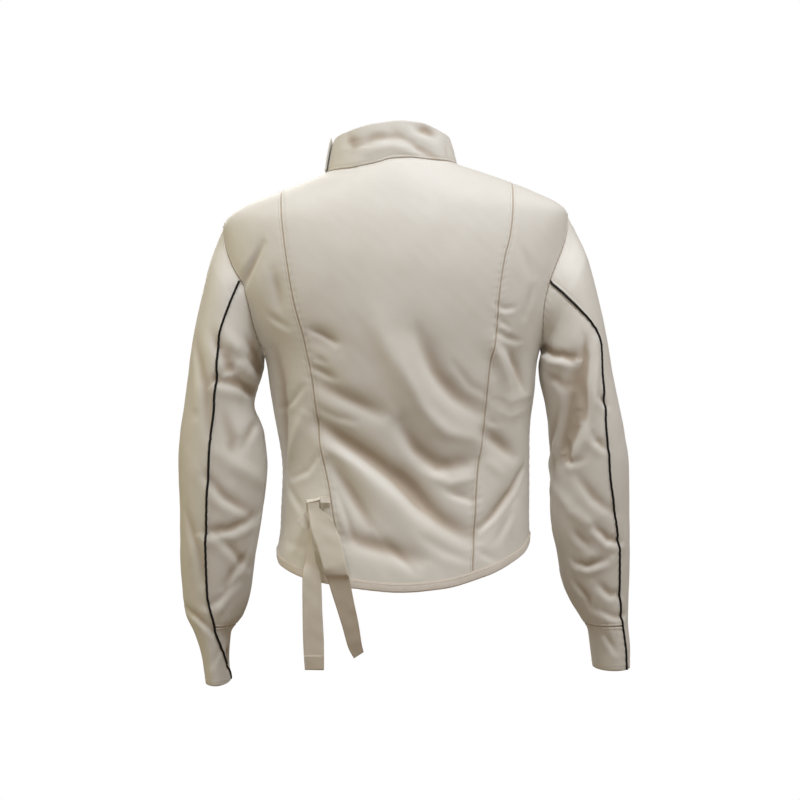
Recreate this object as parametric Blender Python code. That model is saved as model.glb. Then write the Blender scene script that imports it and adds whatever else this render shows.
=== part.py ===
"""Fencing jacket in its worn form: cloth walls round an open hollow, +Z up, front towards -Y.

The origin is the middle of the neck seam. Angles round the trunk are 0 at the wearer's left
side, 90 at centre back, 180 at the right side and 270 at centre front. Angles round a sleeve
are 0 on its outer line, 90 behind, 180 towards the trunk and 270 in front.
"""

import math

import bmesh
import bpy
import numpy as np
from mathutils import Matrix

MM = 0.001
CLOTH = 2.0 * MM
SEAM = 0.3 * MM
HEM_TAPE_HEIGHT = 10.0 * MM
HEM_TAPE_THICKNESS = 3.0 * MM
HEM_TAPE_PROUD = 0.5 * MM
PIPING_RADIUS = 1.4 * MM
PIPING_LIFT = PIPING_RADIUS + 0.35 * MM
LAP_LIFT = CLOTH + 0.9 * MM
LAP_RISE = 0.3
LAP_END = 6.0
LAP_FLARE = 1.6 * MM
COLLAR_ROWS = 3
ZIP_OPENING = 13.0 * MM
ZIP_CHAIN_WIDTH = 6.0 * MM
ZIP_CHAIN_THICKNESS = 2.0 * MM
ZIP_END_GAP = 1.5 * MM
ZIP_TAPE_THICKNESS = 0.8 * MM
ZIP_TAPE_GAPS = np.array([1.4, 0.4, 0.4, 1.5]) * MM

SIDE_ROWS = 12
ARM_ROWS = 10
ROWS = SIDE_ROWS + ARM_ROWS

# Trunk rings in mm: height, reach to the left, to the right, to the back, to the front, squareness
TRUNK = np.array([
    (-605, 178, 178, 114, 119, 2.3),
    (-560, 174, 178, 111, 116, 2.3),
    (-530, 172, 178, 108, 114, 2.3),
    (-508, 164.5, 178, 105, 112, 2.3),
    (-450, 163, 178, 98, 108, 2.3),
    (-410, 161, 178, 94, 106, 2.3),
    (-375, 166, 178, 95, 107, 2.3),
    (-340, 173, 180, 98, 110, 2.3),
    (-300, 180, 186.5, 103, 115, 2.3),
    (-268, 182.5, 186.5, 106, 119, 2.3),
    (-256, 184.5, 190, 107, 120, 2.3),
    (-246, 191, 194, 108, 120, 2.3),
    (-221, 208, 203, 110, 121, 2.3),
    (-188, 225, 213, 112, 121, 2.3),
    (-159, 237, 219.5, 112, 119, 2.25),
    (-129, 243, 226.5, 110, 114, 2.2),
    (-102, 244.5, 230, 106, 106, 2.15),
    (-74.5, 243.6, 231.8, 101, 93, 2.1),
    (-60.7, 229, 231.4, 96, 81, 2.05),
    (-45.5, 199, 214, 91, 65, 2.0),
    (-34.5, 170, 190, 87, 55, 2.0),
    (-23, 141, 161.5, 82, 47, 2.0),
    (-12, 112, 131, 77, 42, 2.0),
    (-1.4, 92, 99, 71, 39, 2.0),
    (7, 80, 74.5, 64, 37, 2.0),
    (14, 72, 64, 57, 35, 2.0),
])

# Waist tie, a woven tape. Each stretch runs down from its first row: distance to the left and
# depth behind of one edge, the same of the other edge, and the heights of both edges, in mm
TIE_THICKNESS = 1.3 * MM
TIES = {
    "tie_stub": (
        (94, 86.5, 92, 88.5, -448, -456), (99, 86.5, 97.5, 89, -447, -455),
        (106.0, 86, 105.9, 90, -447.5, -455),
    ),
    "tie_loop": (
        (124, 80.5, 106, 83.5, -466, -463), (124.5, 84, 106.3, 87, -456, -452),
        (124, 91, 106.5, 94, -451, -447.5), (123.5, 99, 106.5, 102, -455, -451),
        (123, 104, 106.5, 107, -462, -459), (122, 105.5, 107, 107.5, -470, -469),
    ),
    "tie_end": (
        (124, 81.8, 120, 82.5, -466.4, -465.8), (131, 88.5, 121, 89.5, -474, -477),
        (136, 91, 122.5, 91.5, -480, -487), (134, 91.5, 123.8, 92, -484, -492),
    ),
    "tie_tail_left": (
        (121, 100.6, 115.6, 101.0, -478, -477), (121.8, 97, 116.6, 102, -494, -494),
        (124.8, 96, 112.5, 104, -530, -530), (128.6, 101, 105, 104, -553, -553),
        (128.4, 102, 103, 103.5, -600, -600), (127.4, 100, 101, 101.5, -645, -645),
        (125.5, 98, 101, 99.5, -676, -676),
    ),
    "tie_tail_right": (
        (121.5, 96, 107.5, 98, -460, -459), (119.5, 102.5, 92, 104, -477, -475),
        (117, 106, 84.5, 105.5, -491, -489), (109, 108.5, 77.5, 109, -512, -509),
        (101.5, 111.5, 71.5, 113, -538, -536), (100.5, 109.5, 69.5, 112, -546.5, -547.5),
        (96, 105.5, 67, 108.5, -554, -555), (88, 104.5, 62.5, 106.5, -579, -579),
        (76.5, 102, 55.5, 103.5, -616, -613), (67.5, 98, 50.5, 99.5, -648, -645),
        (60.5, 96, 48.5, 97.5, -661, -653),
    ),
}
TIE_ROWS = {"tie_stub": 2, "tie_loop": 6, "tie_end": 3, "tie_tail_left": 9, "tie_tail_right": 13}
TIE_COLUMNS = 3

# Zip slider and pull tab, sizes in mm along the zip, across it and out from the cloth
SLIDER = np.array([12.0, 9.0, 4.4])
SLIDER_BELOW_NECK = 9.5
BAIL = np.array([7.6, 2.0, 3.9])
BAIL_HOLE = np.array([4.6, 2.7])
PULL_LENGTH, PULL_WIDTH, PULL_THICKNESS = 21.0, 6.4, 1.2
PULL_WINDOW = (0.75, 6.4, 2.8)

# Neck seam: angle, height in mm
NECK = np.array([
    (-90, -48), (-60, -41), (-30, -22), (0, -6), (35, -6), (60, -1), (80, 6), (100, 7), (130, 5.5),
    (180, 6), (210, -12), (240, -37), (270, -48),
])

# Height of the collar's top edge: angle, height in mm
COLLAR_TOP = np.array([
    (-90, -8), (-45, 2), (0, 35), (30, 45), (60, 54), (90, 58), (120, 56), (150, 46), (180, 38),
    (225, 8), (270, -8), (315, 2), (360, 35),
])

# Hem edge: angle, height in mm
HEM = np.array([
    (-90, -586), (-45, -570), (0, -531), (18, -545), (35, -557), (62, -567), (90, -571.5),
    (118, -567), (143, -551), (162, -530), (180, -510), (225, -566), (270, -586),
])

# Seams on the back and the zip line in front: distance to the left, height in mm
LEFT_BACK_SEAM = np.array([
    (165.6, -33), (163.5, -68), (152.7, -133), (142.4, -185), (127.7, -241), (115.5, -309),
    (107.7, -373), (94.4, -446), (88, -490), (71.5, -566),
])
RIGHT_BACK_SEAM = np.array([
    (-153, -20.5), (-151, -68), (-147, -100), (-139.4, -130), (-131.9, -180), (-127.7, -229),
    (-119.7, -273), (-114.4, -329), (-110.4, -373), (-103.7, -427), (-101, -494), (-97, -564),
])
ZIP_LINE = np.array([
    (49, -33), (55, -80), (62, -150), (65, -250), (63, -350), (61, -410), (63, -480), (66, -580),
])

# Armhole: sleeve angle, distance from the middle plane, height in mm, behind then in front
LEFT_ARMHOLE = np.array([
    (0, 243.6, -74.5), (18, 241, -95), (36, 236, -116), (54, 227, -138), (72, 215, -160),
    (90, 207.5, -180), (108, 202.5, -200), (126, 198.5, -219), (144, 193.5, -236),
    (162, 188.5, -248.5), (180, 184.3, -256),
    (198, 186.5, -250), (216, 189, -239), (234, 192, -224), (252, 196, -206), (270, 201, -186),
    (288, 208, -164), (306, 217, -141), (324, 228, -118), (342, 238, -96), (360, 243.6, -74.5),
])
RIGHT_ARMHOLE = np.array([
    (0, 231.8, -61.5), (18, 229.5, -82), (36, 224, -104), (54, 215, -127), (72, 203, -157),
    (90, 197.8, -175), (108, 194.5, -193), (126, 193.5, -211), (144, 194, -227),
    (162, 194.2, -239), (180, 193.9, -246.5),
    (198, 193, -240), (216, 191.5, -229), (234, 190, -214), (252, 190.5, -196), (270, 193.5, -176),
    (288, 199, -154), (306, 207, -130), (324, 217.5, -106), (342, 227, -83), (360, 231.8, -61.5),
])

# Sleeve rings in mm: place, distance outwards, back, height, half width, half depth, outer line
# above the middle, angle of the back seam, angle of the front seam
LEFT_SLEEVE = np.array([
    (0.10, 223.5, -4, -192, 36, 61, 69, 74, -108),
    (0.20, 236, -4, -250, 48, 66, 24, 78, -110),
    (0.27, 243, -4, -288, 49, 65, 6, 86, -112),
    (0.33, 249, -4, -322, 47.6, 63, 2, 88, -112),
    (0.41, 245.6, -5, -366, 58, 62, 0, 80, -112),
    (0.49, 245, -7, -410, 61.4, 62, 0, 77, -112),
    (0.60, 247.7, -11, -476, 57, 59, 0, 75, -112),
    (0.70, 252.5, -16, -531, 52.4, 55, 0, 77, -112),
    (0.79, 255, -22, -586, 47, 51, 0, 80, -108),
    (0.85, 258, -26, -617, 40, 49, 0, 92, -100),
    (0.90, 261, -30, -645, 24.5, 48, 0, 112, -84),
    (0.95, 257.5, -34, -680, 18, 47, 0, 128, -70),
    (1.00, 255, -38, -712, 17, 47, 0, 134, -64),
])
RIGHT_SLEEVE = np.array([
    (0.10, 226, -4, -184.5, 30, 61, 69, 76, -108),
    (0.20, 237.5, -4, -248, 46, 66, 25, 58, -112),
    (0.27, 242.5, -4, -284, 50, 65, 6, 53, -112),
    (0.33, 250.5, -4, -322, 50.4, 63, 2, 58, -112),
    (0.41, 258, -5, -366, 52.4, 61, 0, 66, -112),
    (0.49, 261.5, -7, -410, 54.5, 60, 0, 66, -112),
    (0.60, 263, -11, -476, 54.5, 58, 0, 57, -112),
    (0.70, 268.4, -16, -531, 50.4, 54, 0, 52, -112),
    (0.79, 273, -21, -578, 45, 50, 0, 52, -112),
    (0.85, 283.6, -26, -618, 34, 48, 0, 53, -112),
    (0.90, 290.5, -29, -640, 28, 47, 0, 52, -114),
    (0.95, 293.5, -32, -664, 27.5, 46, 0, 50, -116),
    (1.00, 295.5, -35, -691, 26, 45, 0, 48, -118),
])
COLLAR_LEAN = 8.0 * MM
COLLAR_BOW = -1.0 * MM
NECK_MIDDLE = np.array([12.0, 0.0]) * MM

CUFF_SEAM = 0.875
BACK_SEAM_START = 72.0
FRONT_SEAM_START = -108.0
SLEEVE_HALF_COLUMNS = 10
SEAM_SHARE = 0.6
PROBE = 0.2 * MM
SETTLING_STEPS = 5
FINE_STEPS = 160
MITRE_LIMIT = 0.9
UNDERARM_CLEARANCE = 1.35 * MM
CUFF_ROWS = 3
SLEEVE_ROWS = 21


def slopes(knots, values):
    """Slopes at the knots, flat where the values turn so that no curve overshoots."""
    rise = np.diff(values, axis=0) / np.diff(knots).reshape((-1,) + (1,) * (values.ndim - 1))
    together = rise[:-1] * rise[1:] > 0
    total = np.where(together, rise[:-1] + rise[1:], 1.0)
    middle = np.where(together, 2 * rise[:-1] * rise[1:] / total, 0.0)
    return np.concatenate([rise[:1], middle, rise[-1:]])


def cubic(t, width, start, end, start_slope, end_slope):
    return (
        (1 + 2 * t) * (1 - t) ** 2 * start + t * (1 - t) ** 2 * width * start_slope
        + t * t * (3 - 2 * t) * end - t * t * (1 - t) * width * end_slope
    )


def smooth(at, knots, values):
    """Rows of values read between their knots along a smooth curve."""
    at = np.clip(at, knots[0], knots[-1])
    slope = slopes(knots, values)
    span = np.clip(np.searchsorted(knots, at, side="right") - 1, 0, len(knots) - 2)
    width = (knots[span + 1] - knots[span]).reshape(at.shape + (1,) * (values.ndim - 1))
    t = (at - knots[span]).reshape(width.shape) / width
    return cubic(t, width, values[span], values[span + 1], slope[span], slope[span + 1])


def smooth_each(at, knots, curves):
    """Each point read along its own curve, where curves holds knots, points and coordinates."""
    slope = slopes(knots, curves)
    span = np.clip(np.searchsorted(knots, at, side="right") - 1, 0, len(knots) - 2)
    width = (knots[span + 1] - knots[span])[:, None]
    t = (at - knots[span])[:, None] / width
    each = np.arange(len(at))
    return cubic(t, width, curves[span, each], curves[span + 1, each],
                 slope[span, each], slope[span + 1, each])


def column(table, at, which=1):
    """One column of a table, read smoothly at the given values of its first column."""
    return smooth(np.asarray(at, float), table[:, 0], table[:, which:which + 1])[..., 0]


def unit(vectors):
    return vectors / np.maximum(np.linalg.norm(vectors, axis=-1, keepdims=True), 1e-12)


def plain_trunk(angle, height):
    """Points of the trunk before its folds, from angles in degrees and heights in metres."""
    angle, height = np.broadcast_arrays(np.asarray(angle, float), np.asarray(height, float))
    ring = smooth(height / MM, TRUNK[:, 0], TRUNK[:, 1:])
    left, right, back, front, square = np.moveaxis(ring, -1, 0)
    turn = np.radians(angle)
    across, along = np.cos(turn), np.sin(turn)
    side = np.where(across >= 0, left, right)
    depth = np.where(along >= 0, back, front)
    reach = (np.abs(across / side) ** square + np.abs(along / depth) ** square) ** (-1 / square)
    return np.stack([reach * across * MM, reach * along * MM, height], axis=-1)


def angle_at(distance, height, behind=True):
    """Angles at which the trunk's rings pass these distances to the left, behind or in front."""
    sweep = np.linspace(0, 180 if behind else -180, 361)
    found = []
    for one, level in zip(np.atleast_1d(distance), np.atleast_1d(height)):
        found.append(np.interp(-one, -plain_trunk(sweep, level)[:, 0], sweep))
    return np.array(found)


# Folds: path of (distance to the left, height) in mm, depth in mm, half width in mm
BACK_FOLDS = (
    (((118, -229), (82, -246)), -3.5, 13),
    (((116, -276), (90, -292)), -3.0, 13),
    (((108, -300), (22, -340)), -4.0, 16),
    (((107, -352), (40, -398), (-12, -438), (-26, -460)), -8.0, 18),
    (((35, -208), (5, -262), (-26, -340)), 4.5, 26),
    (((98, -383), (30, -435), (-26, -493)), 5.0, 20),
    (((90, -405), (36, -488)), -5.0, 15),
    (((78, -499), (-26, -530)), -5.0, 18),
    (((-22, -229), (-54, -295), (-106, -335)), -4.5, 18),
    (((0, -262), (-44, -352), (-99, -372)), 5.0, 20),
    (((0, -352), (-33, -396), (-66, -410), (-94, -400)), -5.5, 16),
    (((0, -422), (-54, -477), (-93, -502)), -6.0, 18),
    (((-64, -440), (-96, -450)), -3.0, 13),
    (((-124, -240), (-144, -295)), 5.0, 14),
    (((-150, -250), (-160, -310)), -4.5, 16),
    (((-132, -326), (-152, -331), (-172, -318)), 3.5, 12),
    (((-113, -366), (-153, -394)), -5.0, 14),
    (((-168, -414), (-149, -445), (-122, -475), (-106, -490)), -5.0, 12),
    (((184, -112), (212, -165)), -3.5, 12),
    (((168, -150), (160, -200)), -3.0, 16),
    (((168, -250), (158, -330), (155, -410)), -4.5, 16),
    (((134, -340), (150, -405)), 4.0, 16),
)
FRONT_FOLDS = (
    (((170, -262), (128, -330), (96, -372)), -5.0, 20),
    (((150, -395), (90, -420), (20, -436)), -4.5, 18),
    (((-165, -256), (-120, -315), (-70, -350)), -5.5, 22),
    (((-168, -380), (-100, -412), (-20, -424)), -4.5, 18),
    (((-160, -450), (-90, -486), (-30, -520)), -4.0, 20),
    (((10, -300), (-40, -372)), 4.0, 24),
    (((-196, -118), (-168, -170), (-150, -212)), -3.5, 16),
    (((196, -128), (170, -176), (156, -220)), -3.5, 16),
)


def fold_depth(points, folds, seat):
    """Metres by which the folds move the points out, where seat places a fold's path in space."""
    moved = np.zeros(points.shape[:-1])
    for path, depth, half_width in folds:
        knots = seat(np.array(path, float) * MM)
        lengths = np.linalg.norm(np.diff(knots, axis=0), axis=1)
        start = np.concatenate([[0], np.cumsum(lengths)])
        nearest = np.full(moved.shape, np.inf)
        place = np.zeros(moved.shape)
        for k, length in enumerate(lengths):
            along = (knots[k + 1] - knots[k]) / length
            step = np.clip((points - knots[k]) @ along, 0, length)
            away = np.linalg.norm(points - knots[k] - step[..., None] * along, axis=-1)
            closer = away < nearest
            nearest = np.where(closer, away, nearest)
            place = np.where(closer, (start[k] + step) / start[-1], place)
        fade = np.sin(np.pi * (0.12 + 0.76 * place)) ** 0.8
        moved += depth * MM * fade * np.exp(-(nearest / (half_width * MM)) ** 2)
    return moved


def seat_behind(path):
    dense = np.concatenate([
        np.linspace(a, b, 4, endpoint=False) for a, b in zip(path[:-1], path[1:])
    ] + [path[-1:]])
    return plain_trunk(angle_at(dense[:, 0], dense[:, 1]), dense[:, 1])


def seat_in_front(path):
    return plain_trunk(angle_at(path[:, 0], path[:, 1], behind=False), path[:, 1])


def facing(surface, first, second, first_step, second_step):
    """Outward normals of a surface by small steps, the first round it and the second along it."""
    round_it = surface(first + first_step, second) - surface(first - first_step, second)
    along_it = surface(first, second + second_step) - surface(first, second - second_step)
    return unit(np.cross(round_it, along_it))


def reach_past(points):
    """How far points lie outside the plain trunk's rings, as a share of each ring's size."""
    ring = smooth(points[..., 2] / MM, TRUNK[:, 0], TRUNK[:, 1:])
    left, right, back, front, square = np.moveaxis(ring, -1, 0)
    side = np.where(points[..., 0] >= 0, left, right) * MM
    depth = np.where(points[..., 1] >= 0, back, front) * MM
    across = np.abs(points[..., 0] / side) ** square
    along = np.abs(points[..., 1] / depth) ** square
    return (across + along) ** (1 / square) - 1


def rise_of_reach(points):
    """Gradient of reach_past by small steps."""
    steps = np.eye(3) * PROBE
    return np.stack([
        (reach_past(points + step) - reach_past(points - step)) / (2 * PROBE) for step in steps
    ], axis=-1)


def outward(points):
    return unit(rise_of_reach(points))


def settled(points):
    """Points near the plain trunk, moved onto it."""
    for _ in range(SETTLING_STEPS):
        gradient = rise_of_reach(points)
        size = (gradient ** 2).sum(axis=-1, keepdims=True)
        points = points - reach_past(points)[..., None] * gradient / size
    return points


def folded(points):
    """Points of the plain trunk, moved in or out by its folds."""
    depth = fold_depth(points, BACK_FOLDS, seat_behind)
    depth += fold_depth(points, FRONT_FOLDS, seat_in_front)
    return points + outward(points) * depth[..., None]


def even(path, count):
    """Points at even steps of length along a line of many points."""
    length = np.concatenate([[0], np.cumsum(np.linalg.norm(np.diff(path, axis=0), axis=1))])
    at = np.linspace(0, length[-1], count + 1)
    return np.stack([np.interp(at, length, path[:, k]) for k in range(path.shape[1])], axis=-1)


def along_path(path, count):
    """Points at even steps of length along a smooth line through the path's own points."""
    length = np.concatenate([[0], np.cumsum(np.linalg.norm(np.diff(path, axis=0), axis=1))])
    return smooth(np.linspace(0, length[-1], count + 1), length, path)


def armhole(table, sign, angle):
    """Angle and height on the trunk where a sleeve's seam passes at these sleeve angles."""
    angle = np.asarray(angle, float) % 360
    distance = sign * column(table, angle, 1) * MM
    height = column(table, angle, 2) * MM
    behind = angle_at(distance, height)
    ahead = angle_at(distance, height, behind=False)
    return np.where(angle <= 180, behind, ahead if sign > 0 else ahead + 360), height


def hem_height(angle):
    return column(HEM, (np.asarray(angle) + 90) % 360 - 90) * MM


def neck_height(angle):
    return column(NECK, (np.asarray(angle) + 90) % 360 - 90) * MM


def sleeve_surface(table, armhole_table, sign):
    """A function that gives a sleeve's points from angles and places, 0 at its armhole."""
    places = np.concatenate([[0], table[:, 0]])
    _, across, back, height, half_width, half_depth, rise = table[:, :7].T[:, :, None]

    def surface(angle, place):
        angle, place = np.broadcast_arrays(np.asarray(angle, float), np.asarray(place, float))
        flat = angle.ravel()
        seam = plain_trunk(*armhole(armhole_table, sign, flat))
        clear = UNDERARM_CLEARANCE * np.clip(0.3 - np.cos(np.radians(flat)), 0, 1) ** 2
        root = folded(seam) + outward(seam) * clear[:, None]
        c, s = np.cos(np.radians(flat)), np.sin(np.radians(flat))
        rings = np.stack([
            sign * (across + half_width * c), back + half_depth * s, height + rise * c,
        ], axis=-1) * MM
        curves = np.concatenate([root[None], rings])
        return smooth_each(place.ravel(), places, curves).reshape(angle.shape + (3,))

    return surface


def wall(name, outer, inner, material):
    """A cloth wall from the grid of its outer points and the grid of its inner points."""
    rows, columns = outer.shape[:2]
    grid = bmesh.new()
    row = grid.verts.layers.int.new("row")
    place = grid.verts.layers.int.new("place")
    bmesh.ops.create_grid(grid, x_segments=columns - 1, y_segments=rows - 1, size=1)
    for vert in grid.verts:
        vert[place] = round((vert.co.x + 1) / 2 * (columns - 1))
        vert[row] = round((vert.co.y + 1) / 2 * (rows - 1))
        vert.co = outer[vert[row], vert[place]]
    made = bmesh.ops.extrude_face_region(grid, geom=grid.faces[:])
    for vert in made["geom"]:
        if isinstance(vert, bmesh.types.BMVert):
            vert.co = inner[vert[row], vert[place]]
    bmesh.ops.recalc_face_normals(grid, faces=grid.faces[:])
    bmesh.ops.triangulate(grid, faces=grid.faces[:], quad_method="SHORT_EDGE")
    mesh = bpy.data.meshes.new(name)
    grid.to_mesh(mesh)
    grid.free()
    mesh.shade_smooth()
    mesh.set_sharp_from_angle(angle=math.radians(40))
    mesh.materials.append(material)
    obj = bpy.data.objects.new(name, mesh)
    jacket.objects.link(obj)


def part_edges(outer, inner, gaps):
    """Draws the grid's first row, last row, first column and last column in by these gaps."""
    for gap, edge, beside in zip(
        gaps,
        (np.s_[0], np.s_[-1], np.s_[:, 0], np.s_[:, -1]),
        (np.s_[1], np.s_[-2], np.s_[:, 1], np.s_[:, -2]),
    ):
        along = unit(np.gradient(outer[edge], axis=0))
        step = outer[beside] - outer[edge]
        inwards = unit(step - (step * along).sum(axis=-1, keepdims=True) * along) * gap
        outer[edge] += inwards
        inner[edge] += inwards


def cloth_material(name, colour, roughness=0.55):
    material = bpy.data.materials.new(name)
    material.use_nodes = True
    shader = material.node_tree.nodes["Principled BSDF"]
    shader.inputs["Base Color"].default_value = (*colour, 1)
    shader.inputs["Roughness"].default_value = roughness
    return material


for old in list(bpy.data.objects):
    bpy.data.objects.remove(old, do_unlink=True)
jacket = bpy.data.collections.new("fencing_jacket")
bpy.context.scene.collection.children.link(jacket)

white_cloth = cloth_material("white_cloth", (0.70, 0.68, 0.62))
black_piping = cloth_material("black_piping", (0.012, 0.012, 0.013), 0.45)
white_tape = cloth_material("white_tape", (0.74, 0.70, 0.66), 0.7)
zip_metal = cloth_material("zip_metal", (0.62, 0.62, 0.60), 0.35)
zip_metal.node_tree.nodes["Principled BSDF"].inputs["Metallic"].default_value = 1.0

SIDES = {
    "left": (LEFT_SLEEVE, LEFT_ARMHOLE, 1),
    "right": (RIGHT_SLEEVE, RIGHT_ARMHOLE, -1),
}
sleeves = {side: sleeve_surface(*values) for side, values in SIDES.items()}


def mitre(first, second, thickness):
    """Inward step at a seam of two walls, which meets both of their inner faces."""
    middle = unit(first + second)
    slope = np.clip((middle * first).sum(axis=-1, keepdims=True), MITRE_LIMIT, 1)
    return -middle * thickness / slope


def armhole_step(side, angle):
    """The step from outer to inner points along the seam of a sleeve and the trunk."""
    _, seam, sign = SIDES[side]
    on_trunk = outward(plain_trunk(*armhole(seam, sign, angle)))
    place = np.full(np.shape(angle), 0.012)
    return mitre(on_trunk, sleeve_facing(side, np.asarray(angle, float), place), CLOTH)


def sleeve_facing(side, angle, place):
    surface, sign = sleeves[side], SIDES[side][2]
    return -sign * facing(surface, angle, place, 1.0, 0.004)


def neck_line(angle):
    """Points of the plain trunk on the neck seam."""
    return plain_trunk(angle, neck_height(angle))


def even_angles(line, first, last, count):
    """Angles at even steps of length along a line round the trunk, first and last kept."""
    angles = np.linspace(first, last, FINE_STEPS)
    ends = np.linalg.norm(np.diff(line(angles), axis=0), axis=1)
    length = np.concatenate([[0], np.cumsum(ends)])
    return np.interp(np.linspace(0, length[-1], count + 1), length, angles)


def shoulder_line(middle, first, last, count):
    """Points along the ridge of a shoulder between two heights."""
    return even(plain_trunk(middle, np.linspace(first, last, FINE_STEPS)), count)


def joined(*stretches):
    """Stretches of one edge end to end, without their shared points."""
    return np.concatenate([stretches[0]] + [stretch[1:] for stretch in stretches[1:]])


def above_hem(angle):
    """Points of the plain trunk where the panels end above the hem tape."""
    return plain_trunk(angle, hem_height(angle) + HEM_TAPE_HEIGHT)


def seam_edge(path, behind, top_angle=None, round_by=0.0):
    """A seam or a zip edge as the edge of a panel, and the angles of its two ends."""
    steps = along_path(path[::-1] * MM, FINE_STEPS)
    angles = angle_at(steps[:, 0], steps[:, 1], behind) + round_by
    heights = steps[:, 1]
    lift = hem_height(angles[0]) + HEM_TAPE_HEIGHT - heights[0]
    heights = heights + lift * np.linspace(1, 0, len(heights)) ** 3
    if top_angle is None:
        heights[-1] = neck_height(angles[-1])
    else:
        angles[-1] = top_angle
    return settled(even(plain_trunk(angles, heights), ROWS)), angles[0], angles[-1]


def side_edge(side, behind):
    """Side seam and armhole as one edge of a panel, and the armhole's sleeve angles."""
    _, seam, sign = SIDES[side]
    middle = 0.0 if sign > 0 else 180.0
    under = column(seam, 180.0, 2) * MM
    below = plain_trunk(middle, np.linspace(hem_height(middle) + HEM_TAPE_HEIGHT, under,
                                            SIDE_ROWS + 1))
    arm = np.linspace(180, 0 if behind else 360, ARM_ROWS + 1)
    angles, levels = armhole(seam, sign, np.minimum(arm, 359.999))
    angles[0] = angles[-1] = middle
    return joined(below, plain_trunk(angles, levels)), arm


def patch(bottom, top, first, last):
    """Points of the plain trunk inside four edges, rows from the hem up, columns from first to last."""
    v = np.linspace(0, 1, len(first))[:, None, None]
    u = np.linspace(0, 1, len(bottom))[None, :, None]
    across = (1 - u) * first[:, None] + u * last[:, None]
    upwards = (1 - v) * bottom[None] + v * top[None]
    corners = (
        (1 - u) * (1 - v) * first[0] + u * (1 - v) * last[0]
        + (1 - u) * v * first[-1] + u * v * last[-1]
    )
    return settled(across + upwards - corners)


def collar_surface(angle, place):
    """Points of the stand collar from its neck seam, at place 0, to its top edge, at 1."""
    angle, place = np.broadcast_arrays(np.asarray(angle, float), np.asarray(place, float))
    root = folded(neck_line(angle))
    low = root[..., 2]
    high = column(COLLAR_TOP, (angle + 90) % 360 - 90) * MM
    lean = COLLAR_LEAN * place + COLLAR_BOW * np.sin(np.pi * place)
    flat = root[..., :2] - NECK_MIDDLE
    round_it = root[..., :2] - unit(flat) * lean[..., None]
    return np.concatenate([round_it, (low + (high - low) * place)[..., None]], axis=-1)


def collar_facing(angle, place):
    return facing(collar_surface, np.asarray(angle, float), np.asarray(place, float), 1.0, 0.02)


def neck_step(angle):
    """The step from outer to inner points along the seam of the collar and the trunk."""
    return mitre(outward(neck_line(angle)), collar_facing(angle, 0.03), CLOTH)


half_opening = np.array([ZIP_OPENING / 2 / MM, 0])
left_seam, left_foot, _ = seam_edge(LEFT_BACK_SEAM, True, top_angle=0.0)
right_seam, right_foot, _ = seam_edge(RIGHT_BACK_SEAM, True, top_angle=180.0)
zip_on_left, zip_foot_left, zip_neck_left = seam_edge(ZIP_LINE + half_opening, False)
zip_on_main, zip_foot_main, zip_neck_main = seam_edge(
    ZIP_LINE - half_opening, False, round_by=360.0)
tips = {side: column(seam, 0.0, 2) * MM for side, (_, seam, _) in SIDES.items()}
neck_left, neck_right = neck_height(0.0), neck_height(180.0)
side_back_left, arm_behind = side_edge("left", True)
side_back_right, _ = side_edge("right", True)
side_front_left, arm_ahead = side_edge("left", False)
side_front_right, _ = side_edge("right", False)

neck_behind = even_angles(neck_line, 0.0, 180.0, 7)
neck_main = even_angles(neck_line, 180.0, zip_neck_main, 6)
neck_front_left = even_angles(neck_line, zip_neck_left, 0.0, 2)
hem_behind = even_angles(above_hem, left_foot, right_foot, 13)
hem_side_left = even_angles(above_hem, 0.0, left_foot, 6)
hem_side_right = even_angles(above_hem, right_foot, 180.0, 6)
hem_main = even_angles(above_hem, 180.0, zip_foot_main, 12)
hem_front_left = even_angles(above_hem, zip_foot_left, 0.0, 8)

back_centre = patch(
    above_hem(hem_behind),
    joined(
        shoulder_line(0.0, left_seam[-1, 2], neck_left, 3),
        neck_line(neck_behind),
        shoulder_line(180.0, neck_right, right_seam[-1, 2], 3),
    ),
    left_seam, right_seam,
)
back_side_left = patch(
    above_hem(hem_side_left), shoulder_line(0.0, tips["left"], left_seam[-1, 2], 6),
    side_back_left, left_seam,
)
back_side_right = patch(
    above_hem(hem_side_right), shoulder_line(180.0, right_seam[-1, 2], tips["right"], 6),
    right_seam, side_back_right,
)
front_main = patch(
    above_hem(hem_main),
    joined(shoulder_line(180.0, tips["right"], neck_right, 6), neck_line(neck_main)),
    side_front_right, zip_on_main,
)
front_left = patch(
    above_hem(hem_front_left),
    joined(neck_line(neck_front_left), shoulder_line(0.0, neck_left, tips["left"], 6)),
    zip_on_left, side_front_left,
)


def panel(name, at, neck=None, neck_angles=None, arm=None):
    """One panel of the trunk, mitred where the collar or a sleeve is sewn to it."""
    outer = folded(at)
    inner = outer - CLOTH * outward(at)
    if neck is not None:
        inner[-1, neck] = outer[-1, neck] + neck_step(neck_angles)
    if arm is not None:
        place, side, angles = arm
        inner[SIDE_ROWS:, place] = outer[SIDE_ROWS:, place] + armhole_step(side, angles)
    part_edges(outer, inner, np.full(4, SEAM * SEAM_SHARE))
    wall(name, outer, inner, white_cloth)
    return outer, inner


panel("back_centre", back_centre, np.s_[3:11], neck_behind)
panel("back_side_left", back_side_left, arm=(0, "left", arm_behind))
panel("back_side_right", back_side_right, arm=(-1, "right", arm_behind))
main_outer, main_inner = panel(
    "front_main", front_main, np.s_[6:13], neck_main, arm=(0, "right", arm_ahead))
left_outer, left_inner = panel(
    "front_left", front_left, np.s_[0:3], neck_front_left, arm=(-1, "left", arm_ahead))


def sleeve_angles(side, places):
    """Angles of the back and the front seam at these places along a sleeve."""
    table, _, _ = SIDES[side]
    knots = np.concatenate([[0], table[:, 0]])
    seams = np.concatenate([[[BACK_SEAM_START, FRONT_SEAM_START]], table[:, 7:9]])
    return smooth(places, knots, seams).T


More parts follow.
